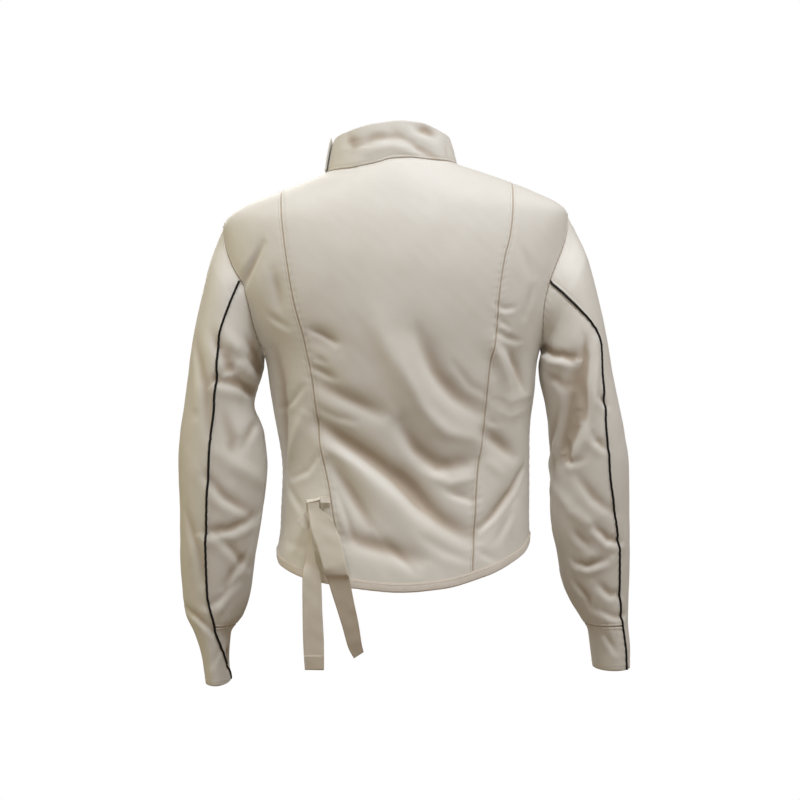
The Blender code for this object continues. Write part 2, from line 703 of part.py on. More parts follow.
def sleeve_grid(side, places, under):
    """Angles and places of the over or the under piece of a sleeve."""
    back, front = sleeve_angles(side, places)
    first, last = (back, front + 360) if under else (front, back)
    share = np.linspace(0, 1, SLEEVE_HALF_COLUMNS + 1)[None]
    angles = first[:, None] * (1 - share) + last[:, None] * share
    return angles, np.broadcast_to(places[:, None], angles.shape)


def sleeve_piece(name, side, places, under, at_armhole):
    """One cut piece of a sleeve."""
    sign = SIDES[side][2]
    angles, spots = sleeve_grid(side, places, under)
    outer = sleeves[side](angles, spots)
    inner = outer - CLOTH * sleeve_facing(side, angles, np.maximum(spots, 0.006))
    if at_armhole:
        inner[0] = outer[0] + armhole_step(side, angles[0])
    part_edges(outer, inner, np.full(4, SEAM * SEAM_SHARE))
    order = np.s_[:, ::sign]
    wall(name, outer[order], inner[order], white_cloth)
    return outer


def piping(name, route):
    """A round cord of cloth along the back seam of a sleeve."""
    curve = bpy.data.curves.new(name, "CURVE")
    curve.dimensions = "3D"
    curve.bevel_depth = PIPING_RADIUS
    curve.bevel_resolution = 1
    curve.use_fill_caps = True
    spline = curve.splines.new("POLY")
    spline.points.add(len(route) - 1)
    for point, place in zip(spline.points, route):
        point.co = (*place, 1)
    curve.materials.append(black_piping)
    jacket.objects.link(bpy.data.objects.new(name, curve))


long_rows = np.linspace(0, CUFF_SEAM, SLEEVE_ROWS - CUFF_ROWS + 1)
cuff_rows = np.linspace(CUFF_SEAM, 1, CUFF_ROWS + 1)
whole_rows = joined(long_rows, cuff_rows)
for side in SIDES:
    over = sleeve_piece(f"over_sleeve_{side}", side, whole_rows, False, True)
    sleeve_piece(f"under_sleeve_{side}", side, long_rows, True, True)
    sleeve_piece(f"under_cuff_{side}", side, cuff_rows, True, False)
    back, _ = sleeve_angles(side, whole_rows)
    route = over[:, -1] + sleeve_facing(side, back, np.maximum(whole_rows, 0.02)) * PIPING_LIFT
    piping(f"piping_{side}", route[1:])


def hem_tape():
    """The folded tape that the hem's cut edges lie in, from one zip edge round to the other."""
    stretches = [hem_front_left, hem_side_left, hem_behind, hem_side_right, hem_main]
    angles = joined(*stretches)
    at_top = plain_trunk(angles, hem_height(angles) + HEM_TAPE_HEIGHT - SEAM)
    out = outward(at_top)
    above = folded(at_top)
    below = above - np.array([0, 0, HEM_TAPE_HEIGHT])
    outer = np.stack([below, above]) + out * HEM_TAPE_PROUD
    wall("hem_tape", outer, outer - out * HEM_TAPE_THICKNESS, white_tape)


def stand_collar():
    """The collar: sewn on from one zip edge round to the other, then lapped over its own start."""
    sewn = joined(neck_front_left, neck_behind, neck_main)
    lapped = 360.0 + np.concatenate([neck_front_left, [LAP_END]])
    angles = np.concatenate([sewn, lapped])
    lift = np.where(np.arange(len(angles)) >= len(sewn), LAP_LIFT, 0.0)
    lift[-1] += LAP_FLARE
    places = np.linspace(0, 1, COLLAR_ROWS + 1)[:, None]
    outer = collar_surface(angles, places)
    out = collar_facing(angles, places)
    inner = outer - CLOTH * out
    inner[0, :len(sewn)] = outer[0, :len(sewn)] + neck_step(sewn)
    part_edges(outer, inner, np.array([SEAM, 0, 0, 0]) * SEAM_SHARE)
    step = out * lift[:, None] + np.array([0, 0, 1]) * (lift * LAP_RISE)[:, None]
    wall("collar", outer + step, inner + step, white_cloth)


hem_tape()
stand_collar()


def strip(name, outer, out, thickness, gaps, material):
    """A narrow wall from its outer points and their outward directions."""
    inner = outer - out * thickness
    part_edges(outer, inner, np.array(gaps))
    wall(name, outer, inner, material)


def ribbon(name, rows):
    """One stretch of the waist tie, lofted through its rows."""
    left_x, left_y, right_x, right_y, left_z, right_z = np.array(rows, float).T * MM
    left = np.stack([left_x, left_y, left_z], axis=-1)
    right = np.stack([right_x, right_y, right_z], axis=-1)
    steps = np.linspace(0, len(rows) - 1, TIE_ROWS[name] + 1)
    edges = smooth(steps, np.arange(len(rows)), np.stack([left, right], axis=1))
    share = np.linspace(0, 1, TIE_COLUMNS + 1)[None, :, None]
    middle = edges[:, :1] * (1 - share) + edges[:, 1:] * share
    down = np.gradient(middle, axis=0)
    across = np.gradient(middle, axis=1)
    out = unit(np.cross(down, across))
    wall(name, middle, middle - out * TIE_THICKNESS, white_tape)


def zip_strips():
    """The zip's tape behind the two front edges, and its chain between them."""
    out = outward(zip_on_left)
    behind = np.stack([
        main_inner[:, -2] * 0.3 + main_inner[:, -1] * 0.7, main_inner[:, -1],
        left_inner[:, 0], left_inner[:, 0] * 0.6 + left_inner[:, 1] * 0.4,
    ], axis=1)
    tape = behind - out[:, None] * ZIP_TAPE_GAPS[None, :, None]
    strip("zip_tape", tape, np.repeat(out[:, None], 4, axis=1), ZIP_TAPE_THICKNESS,
          (ZIP_END_GAP, ZIP_END_GAP, 0, 0), white_tape)
    middle = (main_outer[:, -1] + left_outer[:, 0]) / 2
    across = unit(left_outer[:, 0] - main_outer[:, -1])
    neck, below = middle[-1], middle[-2]
    up = unit(neck - below)
    slider_middle = neck - up * SLIDER_BELOW_NECK * MM
    slider_foot = slider_middle - up * (SLIDER[0] / 2 * MM + 3 * SEAM)
    chain_middle = np.concatenate([middle[:-1], slider_foot[None]])
    sideways = unit(across[-1] - up * (across[-1] @ up))
    chain_across = np.concatenate([across[:-1], sideways[None]])
    half = ZIP_CHAIN_WIDTH / 2
    chain = np.stack([chain_middle - chain_across * half, chain_middle + chain_across * half], axis=1)
    facing_out = unit(np.cross(chain_across, np.gradient(chain_middle, axis=0)))
    facing_out = np.repeat(facing_out[:, None], 2, axis=1)
    strip("zip_chain", chain, facing_out, ZIP_CHAIN_THICKNESS, (ZIP_END_GAP, 0, 0, 0), white_tape)
    return slider_middle, up, sideways, unit(np.cross(sideways, up))


def placed(obj, middle, up, sideways, out):
    """Stands an object made with +X across, +Y up the zip and +Z outwards at its place."""
    matrix = Matrix.Identity(4)
    for k, axis in enumerate((sideways, up, out)):
        for row in range(3):
            matrix[row][k] = axis[row]
    for row in range(3):
        matrix[row][3] = middle[row]
    obj.matrix_world = matrix
    return obj


def block(name, size, place):
    bpy.ops.mesh.primitive_cube_add(size=1)
    obj = bpy.context.object
    obj.name = obj.data.name = name
    for vert in obj.data.vertices:
        vert.co = [vert.co[k] * size[k] * MM + place[k] * MM for k in range(3)]
    for holder in obj.users_collection:
        holder.objects.unlink(obj)
    return obj


def slider_and_pull(middle, up, sideways, out):
    """The slider with its bail, and the pull tab that hangs on the bail."""
    body = block("zip_slider", (SLIDER[1], SLIDER[0], SLIDER[2]), (0, 0, 0))
    bail = block("bail", (BAIL[1], BAIL[0], BAIL[2] + 0.6), (0, 0, (SLIDER[2] + BAIL[2] - 0.6) / 2))
    hinge_level = SLIDER[2] / 2 + BAIL_HOLE[1] / 2
    hole = block("bail_hole", (BAIL[1] * 2, BAIL_HOLE[0], BAIL_HOLE[1]), (0, 0, hinge_level))
    cutters = bpy.data.collections.new("cutters")
    bpy.context.scene.collection.children.link(cutters)
    for helper, kind in ((bail, "UNION"), (hole, "DIFFERENCE")):
        cutters.objects.link(helper)
        helper.hide_render = True
        helper.display_type = "WIRE"
        cut = body.modifiers.new(helper.name, "BOOLEAN")
        cut.operation = kind
        cut.object = helper
    jacket.objects.link(body)
    body.data.materials.append(zip_metal)
    depth = CLOTH - SLIDER[2] / 2 * MM
    seat = middle - out * depth
    for piece in (body, bail, hole):
        placed(piece, seat, up, sideways, out)
    outline = bpy.data.curves.new("zip_pull", "CURVE")
    outline.dimensions = "2D"
    outline.fill_mode = "BOTH"
    outline.extrude = PULL_THICKNESS / 2 * MM
    outline.materials.append(zip_metal)
    top, window_foot, window_width = PULL_WINDOW
    half = PULL_WIDTH / 2
    loops = (
        ((-half, top), (half, top), (half, -PULL_LENGTH + 3), (half * 0.6, -PULL_LENGTH),
         (-half * 0.6, -PULL_LENGTH), (-half, -PULL_LENGTH + 3)),
        ((-window_width / 2, -top), (window_width / 2, -top),
         (window_width / 2, -window_foot), (-window_width / 2, -window_foot)),
    )
    for loop in loops:
        spline = outline.splines.new("POLY")
        spline.points.add(len(loop) - 1)
        spline.use_cyclic_u = True
        for point, (x, y) in zip(spline.points, loop):
            point.co = (x * MM, y * MM, 0, 1)
    pull = bpy.data.objects.new("zip_pull", outline)
    jacket.objects.link(pull)
    placed(pull, seat + out * hinge_level * MM, up, sideways, out)


for tie, tie_table in TIES.items():
    ribbon(tie, tie_table)
slider_and_pull(*zip_strips())
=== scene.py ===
"""Looks of a fencing jacket in its worn form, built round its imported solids.

The frame is the solids' own: metres, +Z up, the wearer's front towards -Y and left towards +X,
origin in the middle of the neck seam. Tables are in millimetres. Angles round the body are 0 at
the wearer's left side, 90 at centre back, 180 at the right side and 270 at centre front. Angles
round a sleeve are 0 on its outer line, 90 behind, 180 towards the body and 270 in front.
"""

import logging
import math
from dataclasses import dataclass, field
from enum import Enum

import bpy
import numpy as np
from bpy.types import ID, Material, Node, NodeSocket, NodeTree, Object, World
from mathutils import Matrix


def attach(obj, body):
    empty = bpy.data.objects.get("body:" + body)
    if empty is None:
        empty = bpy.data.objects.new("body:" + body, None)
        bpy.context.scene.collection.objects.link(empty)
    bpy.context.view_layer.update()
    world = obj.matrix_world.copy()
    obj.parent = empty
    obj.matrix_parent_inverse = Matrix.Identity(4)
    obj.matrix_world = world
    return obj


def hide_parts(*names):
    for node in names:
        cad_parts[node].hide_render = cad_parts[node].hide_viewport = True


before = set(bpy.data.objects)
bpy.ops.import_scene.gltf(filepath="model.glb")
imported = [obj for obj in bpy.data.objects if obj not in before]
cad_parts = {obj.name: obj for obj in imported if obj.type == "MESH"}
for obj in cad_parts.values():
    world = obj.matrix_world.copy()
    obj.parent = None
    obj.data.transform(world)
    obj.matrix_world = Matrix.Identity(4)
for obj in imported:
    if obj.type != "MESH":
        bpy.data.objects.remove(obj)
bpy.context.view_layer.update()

log = logging.getLogger("fencing_jacket")

Array = np.ndarray
Colour = tuple[float, float, float]
Swell = tuple[float, float, int]

MM = 0.001
CLOTH = 2.0 * MM
HEM_TAPE_HEIGHT = 10.0 * MM
ZIP_OPENING = 13.0 * MM
BODY = "jacket"
DENSE = 8
SHARP_ANGLE = math.radians(50.0)
ALMOST_ROUND = 359.999
LEAST_CUT = 10.0 * MM

# Body rings: height, reach to the left, to the right, to the back, to the front, squareness
TRUNK = np.array([
    (-605, 178, 178, 114, 119, 2.3),
    (-560, 174, 178, 111, 116, 2.3),
    (-530, 172, 178, 108, 114, 2.3),
    (-508, 164.5, 178, 105, 112, 2.3),
    (-450, 163, 178, 98, 108, 2.3),
    (-410, 161, 178, 94, 106, 2.3),
    (-375, 166, 178, 95, 107, 2.3),
    (-340, 173, 180, 98, 110, 2.3),
    (-300, 180, 186.5, 103, 115, 2.3),
    (-268, 182.5, 186.5, 106, 119, 2.3),
    (-256, 184.5, 190, 107, 120, 2.3),
    (-246, 191, 194, 108, 120, 2.3),
    (-221, 208, 203, 110, 121, 2.3),
    (-188, 225, 213, 112, 121, 2.3),
    (-159, 237, 219.5, 112, 119, 2.25),
    (-129, 243, 226.5, 110, 114, 2.2),
    (-102, 244.5, 230, 106, 106, 2.15),
    (-74.5, 243.6, 231.8, 101, 93, 2.1),
    (-60.7, 229, 231.4, 96, 81, 2.05),
    (-45.5, 199, 214, 91, 65, 2.0),
    (-34.5, 170, 190, 87, 55, 2.0),
    (-23, 141, 161.5, 82, 47, 2.0),
    (-12, 112, 131, 77, 42, 2.0),
    (-1.4, 92, 99, 71, 39, 2.0),
    (7, 80, 74.5, 64, 37, 2.0),
    (14, 72, 64, 57, 35, 2.0),
])

# Neck seam, collar's top edge and hem edge: angle, height
NECK = np.array([
    (-90, -48), (-60, -41), (-30, -22), (0, -6), (35, -6), (60, -1), (80, 6), (100, 7), (130, 5.5),
    (180, 6), (210, -12), (240, -37), (270, -48),
])
COLLAR_TOP = np.array([
    (-90, -8), (-45, 2), (0, 35), (30, 45), (60, 54), (90, 58), (120, 56), (150, 46), (180, 38),
    (225, 8), (270, -8), (315, 2), (360, 35),
])
HEM = np.array([
    (-90, -586), (-45, -570), (0, -531), (18, -545), (35, -557), (62, -567), (90, -571.5),
    (118, -567), (143, -551), (162, -530), (180, -510), (225, -566), (270, -586),
])

# Seams on the back and the zip line in front: distance to the left, height
LEFT_BACK_SEAM = np.array([
    (161.5, -33), (159.5, -68), (151.2, -133), (142.4, -185), (127.7, -241), (115.5, -309),
    (107.7, -373), (94.4, -446), (88, -490), (71.5, -566),
])
RIGHT_BACK_SEAM = np.array([
    (-153, -20.5), (-151, -68), (-147, -100), (-139.4, -130), (-131.9, -180), (-127.7, -229),
    (-119.7, -273), (-114.4, -329), (-110.4, -373), (-103.7, -427), (-101, -494), (-97, -564),
])
ZIP_LINE = np.array([
    (49, -33), (55, -80), (62, -150), (65, -250), (63, -350), (61, -410), (63, -480), (66, -580),
])

# Armholes: sleeve angle, distance from the middle plane, height, behind and then in front
LEFT_ARMHOLE = np.array([
    (0, 243.6, -74.5), (18, 241, -95), (36, 236, -116), (54, 227, -138), (72, 215, -160),
    (90, 207.5, -180), (108, 202.5, -200), (126, 198.5, -219), (144, 193.5, -236),
    (162, 188.5, -248.5), (180, 184.3, -256),
    (198, 186.5, -250), (216, 189, -239), (234, 192, -224), (252, 196, -206), (270, 201, -186),
    (288, 208, -164), (306, 217, -141), (324, 228, -118), (342, 238, -96), (360, 243.6, -74.5),
])
RIGHT_ARMHOLE = np.array([
    (0, 231.8, -61.5), (18, 229.5, -82), (36, 224, -104), (54, 215, -127), (72, 203, -157),
    (90, 197.8, -175), (108, 194.5, -193), (126, 193.5, -211), (144, 194, -227),
    (162, 194.2, -239), (180, 193.9, -246.5),
    (198, 193, -240), (216, 191.5, -229), (234, 190, -214), (252, 190.5, -196), (270, 193.5, -176),
    (288, 199, -154), (306, 207, -130), (324, 217.5, -106), (342, 227, -83), (360, 231.8, -61.5),
])

# Sleeve rings: place, distance outwards, back, height, half width, half depth, outer line above
# the middle, angle of the back seam, angle of the front seam
LEFT_SLEEVE = np.array([
    (0.10, 223.5, -4, -192, 36, 61, 69, 74, -108),
    (0.20, 236, -4, -250, 48, 66, 24, 78, -110),
    (0.27, 243, -4, -288, 49, 65, 6, 86, -112),
    (0.33, 249, -4, -322, 47.6, 63, 2, 88, -112),
    (0.41, 245.6, -5, -366, 58, 62, 0, 80, -112),
    (0.49, 245, -7, -410, 61.4, 62, 0, 77, -112),
    (0.60, 247.7, -11, -476, 57, 59, 0, 75, -112),
    (0.70, 252.5, -16, -531, 52.4, 55, 0, 77, -112),
    (0.79, 255, -22, -586, 47, 51, 0, 80, -108),
    (0.85, 258, -26, -617, 40, 49, 0, 92, -100),
    (0.90, 261, -30, -645, 24.5, 48, 0, 113, -84),
    (0.95, 257.5, -34, -680, 18, 47, 0, 150, -70),
    (1.00, 255, -38, -712, 17, 47, 0, 200, -64),
])
RIGHT_SLEEVE = np.array([
    (0.10, 226, -4, -184.5, 30, 61, 69, 76, -108),
    (0.20, 237.5, -4, -248, 46, 66, 25, 58, -112),
    (0.27, 242.5, -4, -284, 50, 65, 6, 53, -112),
    (0.33, 250.5, -4, -322, 50.4, 63, 2, 58, -112),
    (0.41, 258, -5, -366, 52.4, 61, 0, 66, -112),
    (0.49, 261.5, -7, -410, 54.5, 60, 0, 66, -112),
    (0.60, 263, -11, -476, 54.5, 58, 0, 57, -112),
    (0.70, 268.4, -16, -531, 50.4, 54, 0, 52, -112),
    (0.79, 273, -21, -578, 45, 50, 0, 52, -112),
    (0.85, 283.6, -26, -618, 34, 48, 0, 53, -112),
    (0.90, 290.5, -29, -640, 28, 47, 0, 52, -114),
    (0.95, 293.5, -32, -664, 27.5, 46, 0, 50, -116),
    (1.00, 295.5, -35, -691, 26, 45, 0, 48, -118),
])

# Upper stretch of the back seam of each sleeve, seen from behind: distance from the middle plane,
# height
LEFT_SLEEVE_SEAM = np.array([
    (217.7, -158), (227.7, -182), (236.7, -207), (243.4, -231), (245.2, -243), (246.2, -263),
    (250.2, -302), (255.8, -347),
])
RIGHT_SLEEVE_SEAM = np.array([
    (203.8, -160), (219.2, -173.5), (237.2, -191.5), (253, -207.5), (265.3, -223.5),
    (272.1, -241.5), (275.1, -261.5), (276.6, -291), (278.9, -329),
])


@dataclass(frozen=True)
class Fold:
    """One fold of the cloth: a soft trough or ridge along a path.

    The path holds (distance to the left, height) pairs. A depth below 0 is a trough. The lip is
    the share of the depth that stands up again along the fold's lower side.
    """

    path: tuple[tuple[float, float], ...]
    depth: float
    half_width: float
    lip: float = 0.0


BACK_FOLDS = (
    Fold(((118, -229), (82, -246)), -3.5, 13),
    Fold(((116, -276), (90, -292)), -3.0, 13),
    Fold(((108, -300), (22, -340)), -4.0, 16),
    Fold(((107, -352), (40, -398), (-12, -438), (-26, -460)), -8.0, 18),
    Fold(((35, -208), (5, -262), (-26, -340)), 4.5, 26),
    Fold(((98, -383), (30, -435), (-26, -493)), 5.0, 20),
    Fold(((90, -405), (36, -488)), -5.0, 15),
    Fold(((78, -499), (-26, -530)), -5.0, 18),
    Fold(((-22, -229), (-54, -295), (-106, -335)), -4.5, 18),
    Fold(((0, -262), (-44, -352), (-99, -372)), 5.0, 20),
    Fold(((0, -352), (-33, -396), (-66, -410), (-94, -400)), -5.5, 16),
    Fold(((0, -422), (-54, -477), (-93, -502)), -6.0, 18),
    Fold(((-64, -440), (-96, -450)), -3.0, 13),
    Fold(((-124, -240), (-144, -295)), 5.0, 14),
    Fold(((-150, -250), (-160, -310)), -4.5, 16),
    Fold(((-132, -326), (-152, -331), (-172, -318)), 3.5, 12),
    Fold(((-113, -366), (-153, -394)), -5.0, 14),
    Fold(((-168, -414), (-149, -445), (-122, -475), (-106, -490)), -5.0, 12),
    Fold(((184, -112), (212, -165)), -3.5, 12),
    Fold(((168, -150), (160, -200)), -3.0, 16),
    Fold(((168, -250), (158, -330), (155, -410)), -4.5, 16),
    Fold(((134, -340), (150, -405)), 4.0, 16),
)
FRONT_FOLDS = (
    Fold(((170, -262), (128, -330), (96, -372)), -5.0, 20),
    Fold(((150, -395), (90, -420), (20, -436)), -4.5, 18),
    Fold(((-165, -256), (-120, -315), (-70, -350)), -5.5, 22),
    Fold(((-168, -380), (-100, -412), (-20, -424)), -4.5, 18),
    Fold(((-160, -450), (-90, -486), (-30, -520)), -4.0, 20),
    Fold(((10, -300), (-40, -372)), 4.0, 24),
    Fold(((-196, -118), (-168, -170), (-150, -212)), -3.5, 16),
    Fold(((196, -128), (170, -176), (156, -220)), -3.5, 16),
)

# Creases finer than the solids hold
BACK_CREASES = (
    Fold(((119, -226), (104, -231), (84, -244)), -2.2, 4.5, 0.5),
    Fold(((114, -262), (98, -270)), -1.4, 4.5, 0.4),
    Fold(((117, -274), (104, -281), (88, -290)), -2.0, 5, 0.5),
    Fold(((110, -298), (70, -316), (24, -338)), -2.2, 9, 0.45),
    Fold(((108, -330), (84, -342), (60, -347)), -1.5, 5, 0.4),
    Fold(((106, -350), (74, -374), (38, -399), (4, -424), (-22, -452)), -3.4, 11, 0.5),
    Fold(((92, -402), (66, -440), (40, -482)), -2.4, 8.5, 0.45),
    Fold(((100, -380), (60, -402), (36, -420)), 1.8, 7),
    Fold(((84, -440), (72, -470), (62, -502)), -1.6, 5, 0.4),
    Fold(((76, -500), (30, -512), (-24, -529)), -2.2, 10, 0.45),
    Fold(((20, -505), (-20, -546)), -1.4, 6, 0.4),
    Fold(((36, -210), (20, -245), (-8, -300)), 1.8, 12),
    Fold(((-24, -232), (-46, -282), (-72, -314), (-104, -334)), -2.4, 10.5, 0.45),
    Fold(((-70, -270), (-94, -300), (-116, -312)), -1.5, 6, 0.4),
    Fold(((-2, -268), (-30, -330), (-60, -362), (-98, -371)), 2.2, 8),
    Fold(((-2, -350), (-22, -384), (-50, -407), (-92, -402)), -2.9, 10, 0.5),
    Fold(((-2, -424), (-34, -462), (-60, -482), (-92, -500)), -2.8, 10.5, 0.45),
    Fold(((-40, -418), (-66, -430), (-98, -424)), 1.6, 6),
    Fold(((-64, -441), (-96, -451)), -1.8, 5, 0.5),
    Fold(((-30, -500), (-62, -520), (-90, -530)), -1.5, 7, 0.4),
    Fold(((-106, -400), (-96, -440), (-99, -480)), -1.2, 5),
)
SIDE_CREASES = (
    Fold(((-128, -193), (-140, -198), (-152, -196)), -1.8, 4, 0.5),
    Fold(((-130, -212), (-146, -222)), -1.5, 4, 0.5),
    Fold(((-128, -228), (-142, -236), (-158, -240)), -2.0, 4.5, 0.5),
    Fold(((-122, -242), (-132, -262), (-146, -296)), 2.0, 6),
    Fold(((-122, -262), (-126, -290)), -1.5, 5),
    Fold(((-138, -246), (-158, -276), (-170, -306)), -2.6, 6, 0.4),
    Fold(((-130, -318), (-150, -327), (-172, -318)), -2.2, 4.5, -0.9),
    Fold(((-116, -345), (-130, -352)), -1.3, 4, 0.4),
    Fold(((-113, -364), (-134, -376), (-154, -394)), -2.4, 8, 0.45),
    Fold(((-168, -412), (-152, -440), (-124, -474), (-106, -490)), -3.0, 4.5, 0.7),
    Fold(((-118, -400), (-140, -420)), 1.4, 7),
    Fold(((-150, -470), (-130, -505)), -1.6, 6, 0.4),
    Fold(((-104, -520), (-126, -532)), -1.3, 5, 0.4),
    Fold(((-160, -110), (-176, -150)), -1.3, 8),
    Fold(((-178, -168), (-168, -205)), -1.6, 6, 0.4),
    Fold(((184, -110), (196, -132), (212, -166)), -2.2, 5, 0.5),
    Fold(((198, -120), (214, -146)), 1.4, 6),
    Fold(((170, -148), (160, -196)), -1.4, 7, 0.4),
    Fold(((176, -206), (150, -222)), -1.5, 5, 0.4),
    Fold(((168, -252), (160, -300), (157, -360), (156, -410)), -2.0, 8, 0.3),
    Fold(((130, -338), (142, -372), (152, -404)), 2.0, 6),
    Fold(((128, -300), (146, -322), (166, -330)), -1.6, 5, 0.5),
    Fold(((108, -392), (124, -414), (144, -424)), -1.6, 5, 0.5),
    Fold(((150, -440), (128, -470)), -1.5, 6, 0.4),
    Fold(((96, -505), (124, -516), (150, -512)), -1.3, 6, 0.4),
)
FRONT_CREASES = (
    Fold(((172, -262), (150, -300), (112, -352)), -2.6, 7, 0.5),
    Fold(((150, -396), (110, -414), (74, -424)), -2.2, 6, 0.5),
    Fold(((160, -340), (120, -372)), -1.5, 6, 0.4),
    Fold(((160, -450), (116, -474), (78, -482)), -1.8, 7, 0.4),
    Fold(((44, -120), (20, -150), (-20, -166)), -1.3, 9),
    Fold(((54, -300), (20, -322), (-30, -360)), 1.6, 9),
    Fold(((50, -405), (0, -424), (-60, -430)), -2.0, 7, 0.4),
    Fold(((-168, -256), (-140, -296), (-84, -342)), -2.8, 7, 0.5),
    Fold(((-180, -300), (-146, -340), (-110, -366)), -1.8, 7, 0.4),
    Fold(((-170, -380), (-130, -402), (-70, -418)), -2.4, 6, 0.5),
    Fold(((-160, -420), (-110, -446), (-60, -450)), 1.6, 8),
    Fold(((-162, -450), (-120, -474), (-52, -510)), -2.2, 7, 0.4),
    Fold(((-196, -118), (-176, -158), (-152, -208)), -2.0, 6, 0.4),
    Fold(((196, -128), (178, -164), (158, -216)), -2.0, 6, 0.4),
    Fold(((110, -60), (130, -96)), -1.0, 9),
    Fold(((-110, -52), (-134, -92)), -1.0, 9),
)

# Sleeve creases, behind and in front, with the distance counted away from the middle plane
LEFT_SLEEVE_BACK = (
    Fold(((238, -222), (222, -248), (200, -276)), 2.6, 9),
    Fold(((206, -236), (194, -258), (188, -282)), -3.0, 9),
    Fold(((252, -228), (236, -262), (216, -292)), -2.6, 9, 0.4),
    Fold(((226, -258), (206, -264), (190, -280)), -3.4, 9, 0.5),
    Fold(((228, -276), (246, -290), (196, -304)), -3.0, 8, 0.4),
    Fold(((212, -306), (194, -312)), -3.6, 7),
    Fold(((278, -240), (262, -300), (258, -360)), -2.2, 10, 0.3),
    Fold(((240, -330), (226, -372), (232, -420)), -2.0, 10),
    Fold(((196, -345), (212, -380)), -2.2, 8, 0.4),
    Fold(((242, -392), (216, -412), (188, -430)), 3.0, 12),
    Fold(((262, -420), (236, -452), (202, -470)), -2.4, 8, 0.5),
    Fold(((196, -478), (226, -492), (262, -498)), -3.2, 8, 0.6),
    Fold(((246, -505), (228, -522), (208, -548)), -2.2, 7, 0.5),
    Fold(((212, -534), (226, -552), (240, -572)), -2.4, 7, 0.6),
    Fold(((292, -470), (276, -520), (268, -566)), -1.8, 8, 0.3),
    Fold(((222, -566), (246, -590), (262, -600)), -1.8, 6, 0.5),
    Fold(((298, -604), (276, -616), (256, -634)), -2.2, 6, 0.5),
    Fold(((242, -596), (252, -616)), 1.6, 6),
    Fold(((246, -660), (258, -682)), -1.2, 5, 0.4),
    Fold(((240, -664), (239, -676), (240, -688)), -3.6, 7),
)
RIGHT_SLEEVE_BACK = (
    Fold(((194, -246), (206, -256), (230, -262)), -3.6, 7, 0.9),
    Fold(((200, -282), (222, -300)), -2.0, 8, 0.4),
    Fold(((246, -296), (252, -330), (254, -362)), -2.6, 7, 0.3),
    Fold(((266, -240), (262, -300), (256, -350), (236, -398)), 3.0, 8),
    Fold(((240, -262), (240, -310), (234, -350), (218, -398)), -3.4, 15),
    Fold(((250, -236), (252, -262), (248, -290)), -2.0, 6),
    Fold(((226, -380), (228, -400), (240, -402)), -2.6, 6, 0.4),
    Fold(((268, -312), (280, -326)), -2.0, 6, 0.5),
    Fold(((262, -370), (278, -384)), -2.0, 6, 0.5),
    Fold(((214, -330), (206, -380), (212, -430)), -2.0, 9, 0.3),
    Fold(((240, -420), (262, -452), (290, -470)), -1.8, 8, 0.4),
    Fold(((214, -440), (232, -470), (256, -486)), 2.0, 9),
    Fold(((264, -490), (284, -508), (300, -512)), -2.4, 6, 0.6),
    Fold(((236, -496), (258, -520)), -1.6, 7, 0.4),
    Fold(((238, -540), (256, -544), (280, -536)), -2.2, 6, 0.6),
    Fold(((272, -572), (288, -584), (300, -586)), -2.0, 6, 0.5),
    Fold(((238, -566), (254, -586), (262, -606)), -2.0, 6, 0.5),
    Fold(((270, -606), (296, -616), (312, -614)), -1.6, 5, 0.4),
    Fold(((280, -640), (296, -664)), -1.3, 5, 0.4),
)
SLEEVE_FRONT = (
    Fold(((200, -262), (220, -280), (250, -290)), -3.0, 9, 0.5),
    Fold(((262, -228), (240, -270), (226, -310)), -2.2, 9, 0.3),
    Fold(((214, -330), (240, -346), (272, -350)), -2.4, 8, 0.5),
    Fold(((200, -392), (236, -408), (276, -402)), -3.0, 9, 0.5),
    Fold(((206, -430), (240, -446), (270, -442)), -2.6, 8, 0.5),
    Fold(((282, -440), (270, -490), (262, -530)), -1.8, 9),
    Fold(((214, -500), (244, -516), (278, -510)), -2.2, 7, 0.5),
    Fold(((226, -556), (254, -570), (284, -566)), -2.0, 7, 0.5),
    Fold(((240, -600), (262, -610), (286, -604)), -1.8, 6, 0.5),
)

# Collar creases, with heights above the neck seam's plane
COLLAR_CREASES = (
    Fold(((4, 39), (-24, 22), (-58, 3)), -1.6, 7, 0.5),
    Fold(((-22, 47), (-46, 41)), -2.2, 8, 0.3),
    Fold(((48, 31), (20, 36), (4, 33)), -1.8, 9, 0.4),
    Fold(((68, 38), (60, 18)), -2.0, 10, 0.3),
    Fold(((50, 14), (10, 22), (-14, 16)), 1.0, 7),
    Fold(((-60, 30), (-66, 10)), -1.0, 6, 0.3),
)

